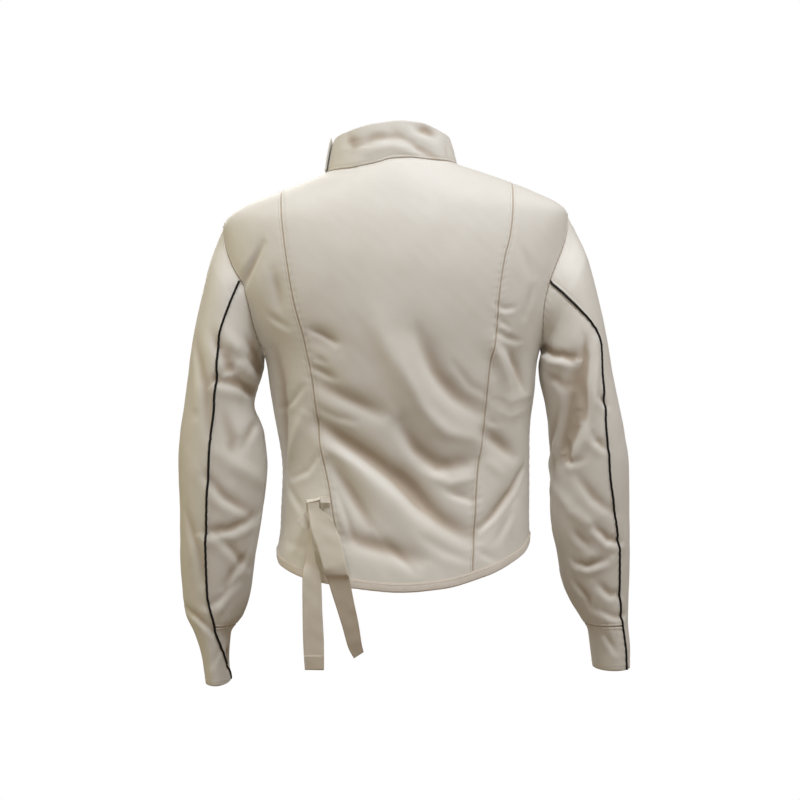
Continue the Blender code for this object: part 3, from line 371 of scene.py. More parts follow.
# Waist tie. Each stretch runs down from its first row: distance to the left and depth behind of
# one edge, the same of the other edge, and the heights of both edges
TIES = {
    "tie_stub": (
        (94, 86.5, 92, 88.5, -448, -456), (99, 86.5, 97.5, 89, -447, -455),
        (106.0, 86, 105.9, 90, -447.5, -455),
    ),
    "tie_loop": (
        (124, 80.5, 106, 83.5, -466, -463), (124.5, 84, 106.3, 87, -456, -452),
        (124, 91, 106.5, 94, -451, -447.5), (123.5, 99, 106.5, 102, -454.5, -450.5),
    ),
    "tie_end": (
        (124, 81.8, 120, 82.5, -466.4, -465.8), (131, 88.5, 121, 89.5, -474, -477),
        (136, 91, 122.5, 91.5, -480, -487), (134, 91.5, 123.8, 92, -484, -492),
    ),
    "tie_tail_left": (
        (121, 100.6, 115.6, 101.0, -478, -477), (121.8, 97, 116.6, 102, -494, -494),
        (124.8, 96, 112.5, 104, -530, -530), (128.6, 101, 105, 104, -553, -553),
        (128.4, 102, 103, 103.5, -600, -600), (127.4, 100, 101, 101.5, -645, -645),
        (125.5, 98, 101, 99.5, -676, -676),
    ),
    "tie_tail_right": (
        (123, 98.6, 106.8, 100.6, -455, -451.5), (121.5, 99, 107.5, 101, -462, -461),
        (119.5, 102.5, 92, 104, -477, -475),
        (117, 106, 84.5, 105.5, -491, -489), (109, 108.5, 77.5, 109, -512, -509),
        (101.5, 111.5, 71.5, 113, -538, -536), (100.5, 109.5, 69.5, 112, -546.5, -547.5),
        (96, 105.5, 67, 108.5, -554, -555), (88, 104.5, 62.5, 106.5, -579, -579),
        (76.5, 102, 55.5, 103.5, -616, -613), (67.5, 98, 50.5, 99.5, -648, -645),
        (60.5, 96, 48.5, 97.5, -661, -653),
    ),
}


class Side(Enum):
    """A side of the wearer, valued by the sign of its X."""

    LEFT = 1
    RIGHT = -1

    @property
    def word(self) -> str:
        """The side's name as the nodes spell it."""
        return self.name.lower()


class Face(Enum):
    """The face of the garment that a fold lies on, valued by the sign of its Y."""

    BEHIND = 1
    AHEAD = -1


class Edge(Enum):
    """An edge of a piece's grid: (axis across the edge, True at the axis's end)."""

    LOW = (0, False)
    HIGH = (0, True)
    FIRST = (1, False)
    LAST = (1, True)


class Slot(Enum):
    """Names of material slots, handed to the shells, which don't use them."""

    CLOTH = "white_cloth"
    TAPE = "white_tape"
    PIPING = "black_piping"


def slopes(knots: Array, values: Array) -> Array:
    """Slopes at the knots, flat where the values turn so that no curve overshoots.

    Args:
        knots: Rising places of the values.
        values: One row for each knot.

    Returns:
        An array shaped as the values.
    """
    rise = np.diff(values, axis=0) / np.diff(knots).reshape((-1,) + (1,) * (values.ndim - 1))
    together = rise[:-1] * rise[1:] > 0
    total = np.where(together, rise[:-1] + rise[1:], 1.0)
    middle = np.where(together, 2 * rise[:-1] * rise[1:] / total, 0.0)
    return np.concatenate([rise[:1], middle, rise[-1:]])


def cubic(
    t: Array, width: Array, start: Array, end: Array,
    start_slope: Array, end_slope: Array,
) -> Array:
    """Values of the cubic through two ends with the slopes given there.

    Args:
        t: Share of the way from start to end.
        width: Distance between the two ends.
        start: Value at the start.
        end: Value at the end.
        start_slope: Slope at the start.
        end_slope: Slope at the end.

    Returns:
        The value at each t.
    """
    return (
        (1 + 2 * t) * (1 - t) ** 2 * start + t * (1 - t) ** 2 * width * start_slope
        + t * t * (3 - 2 * t) * end - t * t * (1 - t) * width * end_slope
    )


def smooth(at: Array, knots: Array, values: Array) -> Array:
    """Rows of values read between their knots along a smooth curve.

    Args:
        at: Places to read at.
        knots: Rising places of the values.
        values: One row for each knot.

    Returns:
        A row of values for each place.
    """
    at = np.clip(at, knots[0], knots[-1])
    slope = slopes(knots, values)
    span = np.clip(np.searchsorted(knots, at, side="right") - 1, 0, len(knots) - 2)
    width = (knots[span + 1] - knots[span]).reshape(at.shape + (1,) * (values.ndim - 1))
    t = (at - knots[span]).reshape(width.shape) / width
    return cubic(t, width, values[span], values[span + 1], slope[span], slope[span + 1])


def smooth_each(at: Array, knots: Array, curves: Array) -> Array:
    """Each point read along its own curve.

    Args:
        at: One place for each point.
        knots: Rising places of the curves' rows.
        curves: Knots by points by coordinates.

    Returns:
        One row of coordinates for each point.
    """
    slope = slopes(knots, curves)
    span = np.clip(np.searchsorted(knots, at, side="right") - 1, 0, len(knots) - 2)
    width = (knots[span + 1] - knots[span])[:, None]
    t = (at - knots[span])[:, None] / width
    each = np.arange(len(at))
    return cubic(t, width, curves[span, each], curves[span + 1, each],
                 slope[span, each], slope[span + 1, each])


def column(table: Array, at: Array | float, which: int = 1) -> Array:
    """One column of a table read smoothly at values of its first column."""
    return smooth(np.asarray(at, float), table[:, 0], table[:, which:which + 1])[..., 0]


def unit(vectors: Array) -> Array:
    """The vectors at length 1."""
    return vectors / np.maximum(np.linalg.norm(vectors, axis=-1, keepdims=True), 1e-12)


def lengths_along(points: Array, axis: int) -> Array:
    """Length from the grid's start to each of its points, along one axis."""
    steps = np.linalg.norm(np.diff(points, axis=axis), axis=-1)
    start = np.zeros_like(np.take(steps, [0], axis=axis))
    return np.concatenate([start, np.cumsum(steps, axis=axis)], axis=axis)


def read(at: Array, knots: Array, rows: Array) -> Array:
    """Rows of coordinates read straight between their knots."""
    return np.stack([np.interp(at, knots, values) for values in rows.T], axis=-1)


def even(path: Array, count: int) -> Array:
    """Points at even steps of length along a line of many points.

    Args:
        path: The line's points.
        count: Number of steps.

    Returns:
        count + 1 points.
    """
    length = lengths_along(path, 0)
    return read(np.linspace(0, length[-1], count + 1), length, path)


def dense(path: Array, steps: int) -> Array:
    """The path with this many even steps between each two of its points."""
    spans = [np.linspace(a, b, steps, endpoint=False) for a, b in zip(path[:-1], path[1:])]
    return np.concatenate([*spans, path[-1:]])


def within_tables(angle: Array | float) -> Array:
    """Angles round the body brought into the range of its tables, -90 to 270."""
    return (np.asarray(angle) + 90) % 360 - 90


def eased(share: Array) -> Array:
    """A share from 0 to 1 that starts and ends gently."""
    return share * share * (3 - 2 * share)


def bell(offset: Array, width: float) -> Array:
    """A soft bump of height 1 where the offset is 0."""
    return np.exp(-(offset / width) ** 2)


def hollow(depth: Array, full: float) -> Array:
    """How far points lie in a trough, from 0 to 1 at this many millimetres."""
    return np.clip(-depth / (full * MM), 0, 1)


def joined(*stretches: Array) -> Array:
    """Stretches of one edge end to end, without their shared points."""
    return np.concatenate([stretches[0]] + [stretch[1:] for stretch in stretches[1:]])


def grid_normals(points: Array, like: Array) -> Array:
    """Normals of a grid of points.

    Args:
        points: Rows by columns by 3.
        like: Rough outward directions, which choose the sign of all the normals.

    Returns:
        Unit normals, shaped as the points.
    """
    across = np.gradient(points, axis=1)
    along = np.gradient(points, axis=0)
    normals = unit(np.cross(across, along))
    return -normals if (normals * like).sum() < 0 else normals


WAVES = 14
WAVES_HEIGHT = 5.5


def ripple(points: Array, reach: float, seed: int) -> Array:
    """A gentle uneven swell of the cloth, from -1 to 1.

    Args:
        points: Places in metres.
        reach: Distance between swells in metres.
        seed: Chooses the pattern.

    Returns:
        One value for each point.
    """
    chance = np.random.default_rng(seed)
    waves = chance.normal(size=(WAVES, 3))
    waves *= (2 * np.pi / reach) / np.linalg.norm(waves, axis=1, keepdims=True)
    waves *= chance.uniform(0.6, 1.5, size=(WAVES, 1))
    phases = chance.uniform(0, 2 * np.pi, size=WAVES)
    return np.sin(points @ waves.T + phases).sum(axis=-1) / WAVES_HEIGHT


def uneven(points: Array, *swells: Swell) -> Array:
    """Metres of gentle unevenness.

    Args:
        points: Places in metres.
        *swells: Distance between swells in metres, their height in millimetres, and a seed.

    Returns:
        One value for each point.
    """
    return sum(ripple(points, reach, seed) * height * MM for reach, height, seed in swells)


class TrunkForm:
    """The form of the jacket's body, read from its rings."""

    PROBE = 0.2 * MM
    SETTLING_STEPS = 5
    FINE_STEPS = 900
    RING_STEP = 2.0
    PADDING = 50
    SMOOTHING = (3.0, 16.0)
    SHOULDER = (-45.0, -125.0)
    SOLID_STEPS = (4, 1)
    CREASE_STEPS = (6, 6)

    def __init__(self) -> None:
        """Evens out the rings, sideways only below the shoulders' edge."""
        knots = np.arange(TRUNK[0, 0], TRUNK[-1, 0] + 1, self.RING_STEP)
        rings = smooth(knots, TRUNK[:, 0], TRUNK[:, 1:])
        high, low = self.SHOULDER
        share = np.clip((knots - high) / (low - high), 0, 1)
        least, most = self.SMOOTHING
        widths = np.stack([least + (most - least) * share] * 2 + [np.full(len(knots), most)] * 3)
        before, after = np.arange(-self.PADDING, 0), np.arange(1, self.PADDING)
        at = np.concatenate([
            knots[0] + before * self.RING_STEP, knots, knots[-1] + after * self.RING_STEP])
        padded = np.concatenate([
            rings[0] + before[:, None] * (rings[1] - rings[0]), rings,
            rings[-1] + after[:, None] * (rings[-1] - rings[-2])])
        evened = []
        for k, width in enumerate(widths):
            weight = np.exp(-((at[None] - knots[:, None]) / width[:, None]) ** 2 / 2)
            evened.append(weight @ padded[:, k] / weight.sum(axis=1))
        self.knots, self.rings = knots, np.stack(evened, axis=-1)

    def reaches(
        self, height: Array, across: Array, along: Array,
    ) -> tuple[Array, Array, Array]:
        """Reach of the rings towards these directions.

        Args:
            height: Heights in metres.
            across: At least 0 towards the left.
            along: At least 0 towards the back.

        Returns:
            Millimetres sideways, millimetres in depth, and the squareness.
        """
        rings = smooth(height / MM, self.knots, self.rings)
        left, right, back, front, square = np.moveaxis(rings, -1, 0)
        return np.where(across >= 0, left, right), np.where(along >= 0, back, front), square

    def plain(self, angle: Array | float, height: Array | float) -> Array:
        """Points of the body before its folds, from angles in degrees and heights in metres."""
        angle, height = np.broadcast_arrays(np.asarray(angle, float), np.asarray(height, float))
        across, along = np.cos(np.radians(angle)), np.sin(np.radians(angle))
        side, depth, square = self.reaches(height, across, along)
        reach = (np.abs(across / side) ** square + np.abs(along / depth) ** square)
        reach = reach ** (-1 / square)
        return np.stack([reach * across * MM, reach * along * MM, height], axis=-1)

    def angle_at(self, distance: Array, height: Array, face: Face) -> Array:
        """Angles at which the rings pass these distances to the left on one face."""
        sweep = np.linspace(0, 180 * face.value, 361)
        rings = self.plain(sweep[None], np.atleast_1d(height)[:, None])[..., 0]
        return np.array([
            np.interp(-one, -ring, sweep) for one, ring in zip(np.atleast_1d(distance), rings)
        ])

    def reach_past(self, points: Array) -> Array:
        """How far points lie outside the rings, as a share of each ring's size."""
        side, depth, square = self.reaches(points[..., 2], points[..., 0], points[..., 1])
        across = np.abs(points[..., 0] / (side * MM)) ** square
        along = np.abs(points[..., 1] / (depth * MM)) ** square
        return (across + along) ** (1 / square) - 1

    def rise(self, points: Array) -> Array:
        """Gradient of reach_past by small steps."""
        return np.stack([
            (self.reach_past(points + step) - self.reach_past(points - step)) / (2 * self.PROBE)
            for step in np.eye(3) * self.PROBE
        ], axis=-1)

    def outward(self, points: Array) -> Array:
        """Outward directions of the plain form at these points."""
        return unit(self.rise(points))

    def settled(self, points: Array) -> Array:
        """Points near the plain form, moved onto it."""
        for _ in range(self.SETTLING_STEPS):
            gradient = self.rise(points)
            size = (gradient ** 2).sum(axis=-1, keepdims=True)
            points = points - self.reach_past(points)[..., None] * gradient / size
        return points

    def neck_height(self, angle: Array | float) -> Array:
        """Height of the neck seam at these angles."""
        return column(NECK, within_tables(angle)) * MM

    def hem_height(self, angle: Array | float) -> Array:
        """Height of the hem edge at these angles."""
        return column(HEM, within_tables(angle)) * MM

    def neck_line(self, angle: Array) -> Array:
        """Points of the neck seam at these angles."""
        return self.plain(angle, self.neck_height(angle))

    def above_hem(self, angle: Array) -> Array:
        """Points where the panels end above the hem tape."""
        return self.plain(angle, self.hem_height(angle) + HEM_TAPE_HEIGHT)

    def armhole(self, table: Array, sign: int, angle: Array) -> Array:
        """Points of an armhole seam at these sleeve angles.

        Args:
            table: The armhole's table.
            sign: 1 on the wearer's left, -1 on the right.
            angle: Sleeve angles from 0 to 360.

        Returns:
            One point for each angle.
        """
        distance = sign * column(table, angle, 1) * MM
        height = column(table, angle, 2) * MM
        behind = self.angle_at(distance, height, Face.BEHIND)
        ahead = self.angle_at(distance, height, Face.AHEAD)
        return self.plain(np.where(angle <= 180, behind, ahead), height)

    def seat(self, path: Array, face: Face, steps: int) -> Array:
        """A fold's path placed on one face of the body, with steps between its own points."""
        path = dense(path, steps)
        return self.plain(self.angle_at(path[:, 0], path[:, 1], face), path[:, 1])

    def folds(
        self, points: Array, out: Array, behind: tuple[Fold, ...],
        ahead: tuple[Fold, ...], steps: tuple[int, int],
    ) -> Array:
        """Metres by which folds move points of the plain form outwards.

        Args:
            points: Points of the plain form.
            out: Outward directions at the points.
            behind: Folds of the back.
            ahead: Folds of the front.
            steps: Steps between the points of a path, on the back and on the front.

        Returns:
            One depth for each point.
        """
        on_back, on_front = steps
        depth = relief(points, out, behind, lambda path: self.seat(path, Face.BEHIND, on_back))
        depth += relief(points, out, ahead, lambda path: self.seat(path, Face.AHEAD, on_front))
        return depth

    def even_angles(self, line, first: float, last: float, count: int) -> Array:
        """Angles at even steps of length along a line round the body.

        Args:
            line: Function from angles to points.
            first: First angle.
            last: Last angle.
            count: Number of steps.

        Returns:
            count + 1 angles.
        """
        angles = np.linspace(first, last, self.FINE_STEPS)
        length = lengths_along(line(angles), 0)
        return np.interp(np.linspace(0, length[-1], count + 1), length, angles)

    def shoulder_line(self, middle: float, first: float, last: float, count: int) -> Array:
        """Points along the ridge of a shoulder between two heights."""
        return even(self.plain(middle, np.linspace(first, last, self.FINE_STEPS)), count)


# A fold's depth along its path, how many half widths it reaches, and its lip in half widths
FOLD_END, FOLD_FADE, FOLD_REACH = 0.12, 0.8, 4
LIP_PLACE, LIP_WIDTH = 1.5, 1.1


def relief(points: Array, out: Array, folds: tuple[Fold, ...], seat) -> Array:
    """Metres by which folds move points outwards.

    Args:
        points: Points of the plain form.
        out: Outward directions at the points.
        folds: The folds.
        seat: Function that places a path of (distance, height) pairs in space.

    Returns:
        One depth for each point.
    """
    moved = np.zeros(points.shape[:-1])
    for fold in folds:
        knots = seat(np.array(fold.path, float) * MM)
        spans = np.linalg.norm(np.diff(knots, axis=0), axis=1)
        start = lengths_along(knots, 0)
        reach = FOLD_REACH * fold.half_width * MM
        near = (np.abs(points - knots.mean(axis=0)).max(axis=-1)
                < np.abs(knots - knots.mean(axis=0)).max() + reach)
        at, facing = points[near], out[near]
        nearest = np.full(len(at), np.inf)
        place = np.zeros(len(at))
        below = np.zeros(len(at))
        for k, span in enumerate(spans):
            along = (knots[k + 1] - knots[k]) / span
            step = np.clip((at - knots[k]) @ along, 0, span)
            offset = at - knots[k] - step[:, None] * along
            away = np.linalg.norm(offset, axis=-1)
            closer = away < nearest
            across = np.cross(facing, along)
            across *= np.where(across[:, 2:] > 0, -1.0, 1.0)
            nearest = np.where(closer, away, nearest)
            place = np.where(closer, (start[k] + step) / start[-1], place)
            below = np.where(closer, (offset * across).sum(axis=-1), below)
        fade = np.sin(np.pi * (FOLD_END + (1 - 2 * FOLD_END) * place)) ** FOLD_FADE
        width = fold.half_width * MM
        shape = bell(nearest, width)
        if fold.lip:
            side = np.sign(below) * nearest
            shape -= fold.lip * bell(side - LIP_PLACE * width, LIP_WIDTH * width)
        moved[near] += fold.depth * MM * fade * shape
    return moved


# Stations of extra rows or columns by an edge, in cells
NEAR_EDGE = np.array([0.2, 0.42, 0.66, 0.92, 1.22, 1.58])


def stations(count: int, low: bool, high: bool) -> Array:
    """Places along a grid of this many cells, closer together by its chosen ends."""
    inner = np.arange(0, count + 1, dtype=float)
    if low:
        inner = np.concatenate([[0], NEAR_EDGE, inner[2:]])
    if high:
        inner = np.concatenate([inner[:-2], count - NEAR_EDGE[::-1], [count]])
    return inner


def resampled(points: Array, edges: tuple[Edge, ...]) -> Array:
    """The grid with extra rows and columns by the chosen edges."""
    for axis in (0, 1):
        places = stations(points.shape[axis] - 1, *(
            any(edge.value == (axis, end) for edge in edges) for end in (False, True)
        ))
        span = np.clip(places.astype(int), 0, points.shape[axis] - 2)
        share = (places - span).reshape((-1, 1, 1) if axis == 0 else (1, -1, 1))
        before = np.take(points, span, axis=axis)
        after = np.take(points, span + 1, axis=axis)
        points = before * (1 - share) + after * share
    return points


@dataclass(frozen=True)
class SeamLook:
    """How cloth is drawn in along a seam. Sizes are in millimetres.

    The stitch row lies at `stitch` from the seam, and the cloth swells between the two.
    """

    groove: float = 0.9
    groove_width: float = 1.5
    stitch: float = 4.2
    sink: float = 0.4
    stitch_width: float = 1.2
    stitch_shade: float = 0.15
    swell: float = 0.3
    swell_width: float = 1.3
    pucker: float = 0.3
    pucker_step: float = 11.0
    pucker_reach: float = 1.4
    wander: tuple[float, float] = (1.7, 29.0)
    beat: tuple[float, float] = (0.4, 47.0)
    shade: float = 1.3
    shade_width: float = 1.1


def edge_lengths(points: Array, edge: Edge) -> tuple[Array, Array]:
    """Distance of each point from an edge, and the length along it."""
    axis, end = edge.value
    away = lengths_along(points, axis)
    if end:
        away = np.take(away, [-1], axis=axis) - away
    return away, lengths_along(points, 1 - axis)


def seam_depth(points: Array, edges: dict[Edge, SeamLook]) -> Array:
    """Metres by which the seams draw the cloth in.

    Args:
        points: Rows by columns by 3.
        edges: The look of each edge that is sewn.

    Returns:
        One depth for each point.
    """
    moved = np.zeros(points.shape[:-1])
    for edge, look in edges.items():
        away, along = (length / MM for length in edge_lengths(points, edge))
        moved -= look.groove * bell(away, look.groove_width)
        moved -= look.sink * bell(away - look.stitch, look.stitch_width)
        moved += look.swell * bell(away - look.stitch / 2, look.swell_width)
        shift, slow = look.wander
        wave = np.sin(2 * np.pi * along / look.pucker_step + shift * np.sin(along / slow))
        fade = bell(away - look.stitch, look.pucker_reach * look.stitch)
        share, slow = look.beat
        moved += look.pucker * wave * fade * (1 - share + share * np.sin(along / slow))
    return moved * MM


def seam_shade(points: Array, edges: dict[Edge, SeamLook]) -> Array:
    """Painted shade along the seams' grooves and stitch rows, above 1 right in a seam."""
    shade = np.zeros(points.shape[:-1])
    for edge, look in edges.items():
        away = edge_lengths(points, edge)[0] / MM
        shade += look.shade * bell(away, look.shade_width)
        shade += look.stitch_shade * bell(away - look.stitch, look.stitch_width)
    return shade


def offset_line(points: Array, edge: Edge, distance: float) -> Array:
    """A line on the grid at a distance in metres from one of its edges."""
    away, _ = edge_lengths(points, edge)
    axis, end = edge.value
    if axis == 0:
        points, away = np.swapaxes(points, 0, 1), away.T
    if end:
        points, away = points[:, ::-1], away[:, ::-1]
    return np.array([read(distance, level, row) for row, level in zip(points, away)])


@dataclass
class Sheet:
    """A grid of cloth, from which its shell and its stitch rows are made."""

    name: str
    points: Array
    out: Array
    # painted shade at each point, from folds and seams, which darkens the cloth's colour
    crease: Array
    thickness: float = CLOTH
    rolled: tuple[Edge, ...] = ()
    inner_shade: float = 0.3
    roll: float = 0.45

    def cut(self) -> tuple[float, float, float]:
        """Width, length and area of the cloth laid flat, in metres."""
        width = float(lengths_along(self.points, 1)[:, -1].max())
        length = float(lengths_along(self.points, 0)[-1].max())
        sides = np.cross(np.diff(self.points, axis=0)[:, :-1], np.diff(self.points, axis=1)[:-1])
        area = float(np.linalg.norm(sides, axis=-1).sum())
        return width, length, min(area, width * length)

    def line(self, edge: Edge, distance: float) -> tuple[Array, Array]:
        """A line at a distance in mm from an edge, and the outward directions along it."""
        line = offset_line(self.points, edge, distance * MM)
        out = offset_line(self.points + self.out * MM, edge, distance * MM) - line
        return line, unit(out)

    def shell(self, material: Material, slot: Slot) -> Object:
        """A closed thin wall: outer face, inner face and a rim."""
        count = self.out[..., 0].size
        place = np.arange(count).reshape(self.out.shape[:2])
        quads = np.stack([place[:-1, :-1], place[:-1, 1:], place[1:, 1:], place[1:, :-1]],
                         axis=-1).reshape(-1, 4)
        border = np.concatenate([place[0, :-1], place[:-1, -1], place[-1, :0:-1], place[:0:-1, 0]])
        inner = self.points - self.out * self.thickness
        flat, flat_in, out = (grid.reshape(-1, 3) for grid in (self.points, inner, self.out))
        verts, faces, rims = [flat, flat_in], [quads, quads[:, ::-1] + count], [border + count]
        uv = np.stack([lengths_along(self.points, axis).ravel() for axis in (1, 0)], axis=-1)
        crease = self.crease.ravel()
        # the inner face and the rim carry the same painted shade, weaker on the inner face
        uvs, creases = [uv, uv], [crease, crease * self.inner_shade]
        if self.rolled:
            rims.insert(0, np.arange(len(border)) + 2 * count)
            verts.append(self.rim(border))
            uvs.append(uv[border])
            creases.append(crease[border])
        outer = border
        for rim in rims:
            faces.append(np.stack([outer, rim, np.roll(rim, -1), np.roll(outer, -1)], axis=-1))
            outer = rim
        faces = np.concatenate(faces)
        across, along = (flat[quads[:, corner]] - flat[quads[:, 0]] for corner in (1, 3))
        if (np.cross(across, along) * out[quads[:, 0]]).sum() < 0:
            faces = faces[:, ::-1]
        return piece(self.name, np.concatenate(verts), faces, material,
                     uv=np.concatenate(uvs), crease=np.concatenate(creases))

    def rim(self, border: Array) -> Array:
        """Points half round the free edges, between the outer and the inner face."""
        middle = self.points - self.out * self.thickness / 2
        bulge = np.zeros_like(middle)
        for edge in self.rolled:
            axis, end = edge.value
            at = [slice(None), slice(None)]
            beside = [slice(None), slice(None)]
            at[axis], beside[axis] = (-1, -3) if end else (0, 2)
            step = unit(middle[tuple(at)] - middle[tuple(beside)])
            bulge[tuple(at)] += step * self.thickness * self.roll
        return (middle + bulge).reshape(-1, 3)[border]


def linked(name: str, data: ID) -> Object:
    """A new object of the scene."""
    obj = bpy.data.objects.new(name, data)
    bpy.context.scene.collection.objects.link(obj)
    return obj


def piece(
    name: str, verts: Array, faces: Array, material: Material,
    uv: Array | None = None, crease: Array | None = None,
    caps: tuple[Array, ...] = (),
) -> Object:
    """A mesh that rides on the jacket's body.

    Args:
        name: The piece's name.
        verts: Its points.
        faces: Rows of point numbers.
        material: Its finish.
        uv: Places on the cloth in metres, one for each point.
        crease: How much painted shade darkens each point: 0 to 1 in folds, above 1 in seams.
        caps: Further faces with other numbers of corners.

    Returns:
        The new object.
    """
    mesh = bpy.data.meshes.new(name)
    mesh.from_pydata(verts.tolist(), [], faces.tolist() + [cap.tolist() for cap in caps])
    if uv is not None:
        corners = np.concatenate([faces.ravel(), *caps])
        layer = mesh.uv_layers.new(name="cloth")
        layer.data.foreach_set("uv", uv[corners].astype(np.float32).ravel())
    if crease is not None:
        values = mesh.attributes.new("crease", "FLOAT", "POINT")
        values.data.foreach_set("value", crease.astype(np.float32))
    mesh.shade_smooth()
    mesh.set_sharp_from_angle(angle=SHARP_ANGLE)
    mesh.materials.append(material)
    obj = linked(name, mesh)
    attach(obj, BODY)
    log.info("%s: %d faces", name, len(mesh.polygons))
    return obj


def declare(obj: Object, sheet: Sheet) -> None:
    """Logs the cut of a shell's cloth: its outer face's size, at least LEAST_CUT each way, and its
    area.
    """
    width, length, area = sheet.cut()
    width, length = max(width, LEAST_CUT), max(length, LEAST_CUT)
    log.info("%s: cut %.0f x %.0f mm, %.0f cm2", obj.name, width / MM, length / MM, area * 1e4)


@dataclass(frozen=True)
class StitchRow:
    """A row of lockstitches in thread. Sizes are in millimetres."""

    step: float = 3.3
    stitch: float = 2.7
    radius: float = 0.26
    rise: float = 0.32
    dip: float = -0.25
    sides: int = 6
    rings: int = 5

    def lay(
        self, name: str, lines: list[tuple[Array, Array]],
        material: Material,
    ) -> Object:
        """Lays stitches along lines of points with their outward directions.

        Args:
            name: The piece's name.
            lines: Pairs of points and outward directions.
            material: The thread's finish.

        Returns:
            One object with all the stitches.
        """
        verts, faces, total = [], [], 0
        share = np.linspace(0, 1, self.rings)
        lift = self.dip + (self.rise - self.dip) * np.sin(np.pi * share) ** 0.5
        section = round_section(self.radius * MM, self.sides)
        for points, out in lines:
            length = lengths_along(points, 0)
            starts = np.arange(0.5 * self.step, length[-1] / MM - self.step, self.step)
            at = (starts[:, None] + self.stitch * share[None]) * MM
            middle, up = read(at, length, points), unit(read(at, length, out))
            side = unit(np.cross(unit(np.gradient(middle, axis=1)), up))
            middle = middle + up * lift[None, :, None] * MM
            ring = side[:, :, None] * section[:, :1] + up[:, :, None] * section[:, 1:]
            verts.append((middle[:, :, None] + ring).reshape(-1, 3))
            faces.append(self.faces(len(starts)) + total)
            total += len(verts[-1])
        return piece(name, np.concatenate(verts), np.concatenate(faces), material)

    def faces(self, count: int) -> Array:
        """Faces of this many stitches, each a closed tube."""
        ring = np.arange(self.sides)
        following = np.roll(ring, -1)
        quads = [
            np.stack([ring, following, following + self.sides, ring + self.sides], axis=-1)
            + k * self.sides for k in range(self.rings - 1)
        ]
        half = self.sides // 2
        for k, order in ((0, slice(None, None, -1)), (self.rings - 1, slice(None))):
            for a in range(half - 1):
                cap = np.array([[a, a + 1, self.sides - 2 - a, self.sides - 1 - a]])
                quads.append(cap[:, order] + k * self.sides)
        one = np.concatenate(quads)
        steps = np.arange(count) * self.sides * self.rings
        return (one[None] + steps[:, None, None]).reshape(-1, 4)


def tube(
    name: str, route: Array, section: Array, out: Array,
    material: Material,
) -> Object:
    """A closed form swept along a route.

    Args:
        name: The piece's name.
        route: Points along the middle.
        section: Pairs of (sideways, outwards) metres round the section.
        out: Outward direction at each point of the route.
        material: Its finish.

    Returns:
        The new object.
    """
    along = unit(np.gradient(route, axis=0))
    side = unit(np.cross(along, out))
    up = unit(np.cross(side, along))
    verts = (route[:, None] + side[:, None] * section[None, :, :1]
             + up[:, None] * section[None, :, 1:2])
    place = np.arange(verts[..., 0].size).reshape(verts.shape[:2])
    turned = np.roll(place, -1, axis=1)
    walls = np.stack([place[:-1], turned[:-1], turned[1:], place[1:]], axis=-1).reshape(-1, 4)
    flat = np.stack(np.broadcast_arrays(
        lengths_along(section, 0)[None], lengths_along(route, 0)[:, None]), axis=-1)
    return piece(name, verts.reshape(-1, 3), walls, material, uv=flat.reshape(-1, 2),
                 caps=(place[0, ::-1], place[-1]))


def round_section(radius: float, sides: int) -> Array:
    """A round section of this radius in metres."""
    turn = np.linspace(0, 2 * np.pi, sides, endpoint=False)
    return np.stack([np.cos(turn), np.sin(turn)], axis=-1) * radius


class Graph:
    """A short hand for filling one node tree."""

    def __init__(self, tree: NodeTree) -> None:
        """Takes the tree to fill."""
        self.tree = tree

    def add(self, kind: str, inputs: dict | None = None, **settings) -> Node:
        """A node with its settings and its plain input values.

        Args:
            kind: The node's type.
            inputs: Values of its inputs by name or number, where a socket is linked.
            **settings: Its other properties.

        Returns:
            The new node.
        """
        node = self.tree.nodes.new(kind)
        for key, value in settings.items():
            setattr(node, key, value)
        self.feed(node, inputs or {})
        return node

    def feed(self, node: Node, inputs: dict) -> None:
        """Links or sets inputs of a node."""
        for key, value in inputs.items():
            if isinstance(value, NodeSocket):
                self.tree.links.new(value, node.inputs[key])
            else:
                node.inputs[key].default_value = value

    def math(self, operation: str, first, second=0.0, third=0.0) -> NodeSocket:
        """The result of a Math node."""
        return self.add("ShaderNodeMath", {0: first, 1: second, 2: third},
                        operation=operation).outputs[0]

    def ramp(self, value, low: float, high: float, to_low: float = 0.0,
             to_high: float = 1.0) -> NodeSocket:
        """The value carried smoothly from one range to another."""
        return self.add("ShaderNodeMapRange", {
            "Value": value, "From Min": low, "From Max": high, "To Min": to_low, "To Max": to_high,
        }, interpolation_type="SMOOTHSTEP").outputs[0]

    def mix(self, share, first, second) -> NodeSocket:
        """Two colours mixed."""
        return self.add("ShaderNodeMix", {0: share, 6: first, 7: second},
                        data_type="RGBA").outputs[2]

    def noise(self, place, scale: float, detail: float = 2.0) -> NodeSocket:
        """A noise texture's value."""
        return self.add("ShaderNodeTexNoise", {
            "Vector": place, "Scale": scale, "Detail": detail,
        }).outputs[0]

    def bump(self, height, strength: float, distance: float) -> NodeSocket:
        """Normals bent by a height, which spans this distance in metres."""
        return self.add("ShaderNodeBump", {
            "Height": height, "Strength": strength, "Distance": distance,
        }).outputs[0]


def principled(name: str) -> tuple[Material, Graph, Node]:
    """A new material with its graph and its shader node."""
    material = bpy.data.materials.new(name)
    material.use_nodes = True
    return material, Graph(material.node_tree), material.node_tree.nodes["Principled BSDF"]


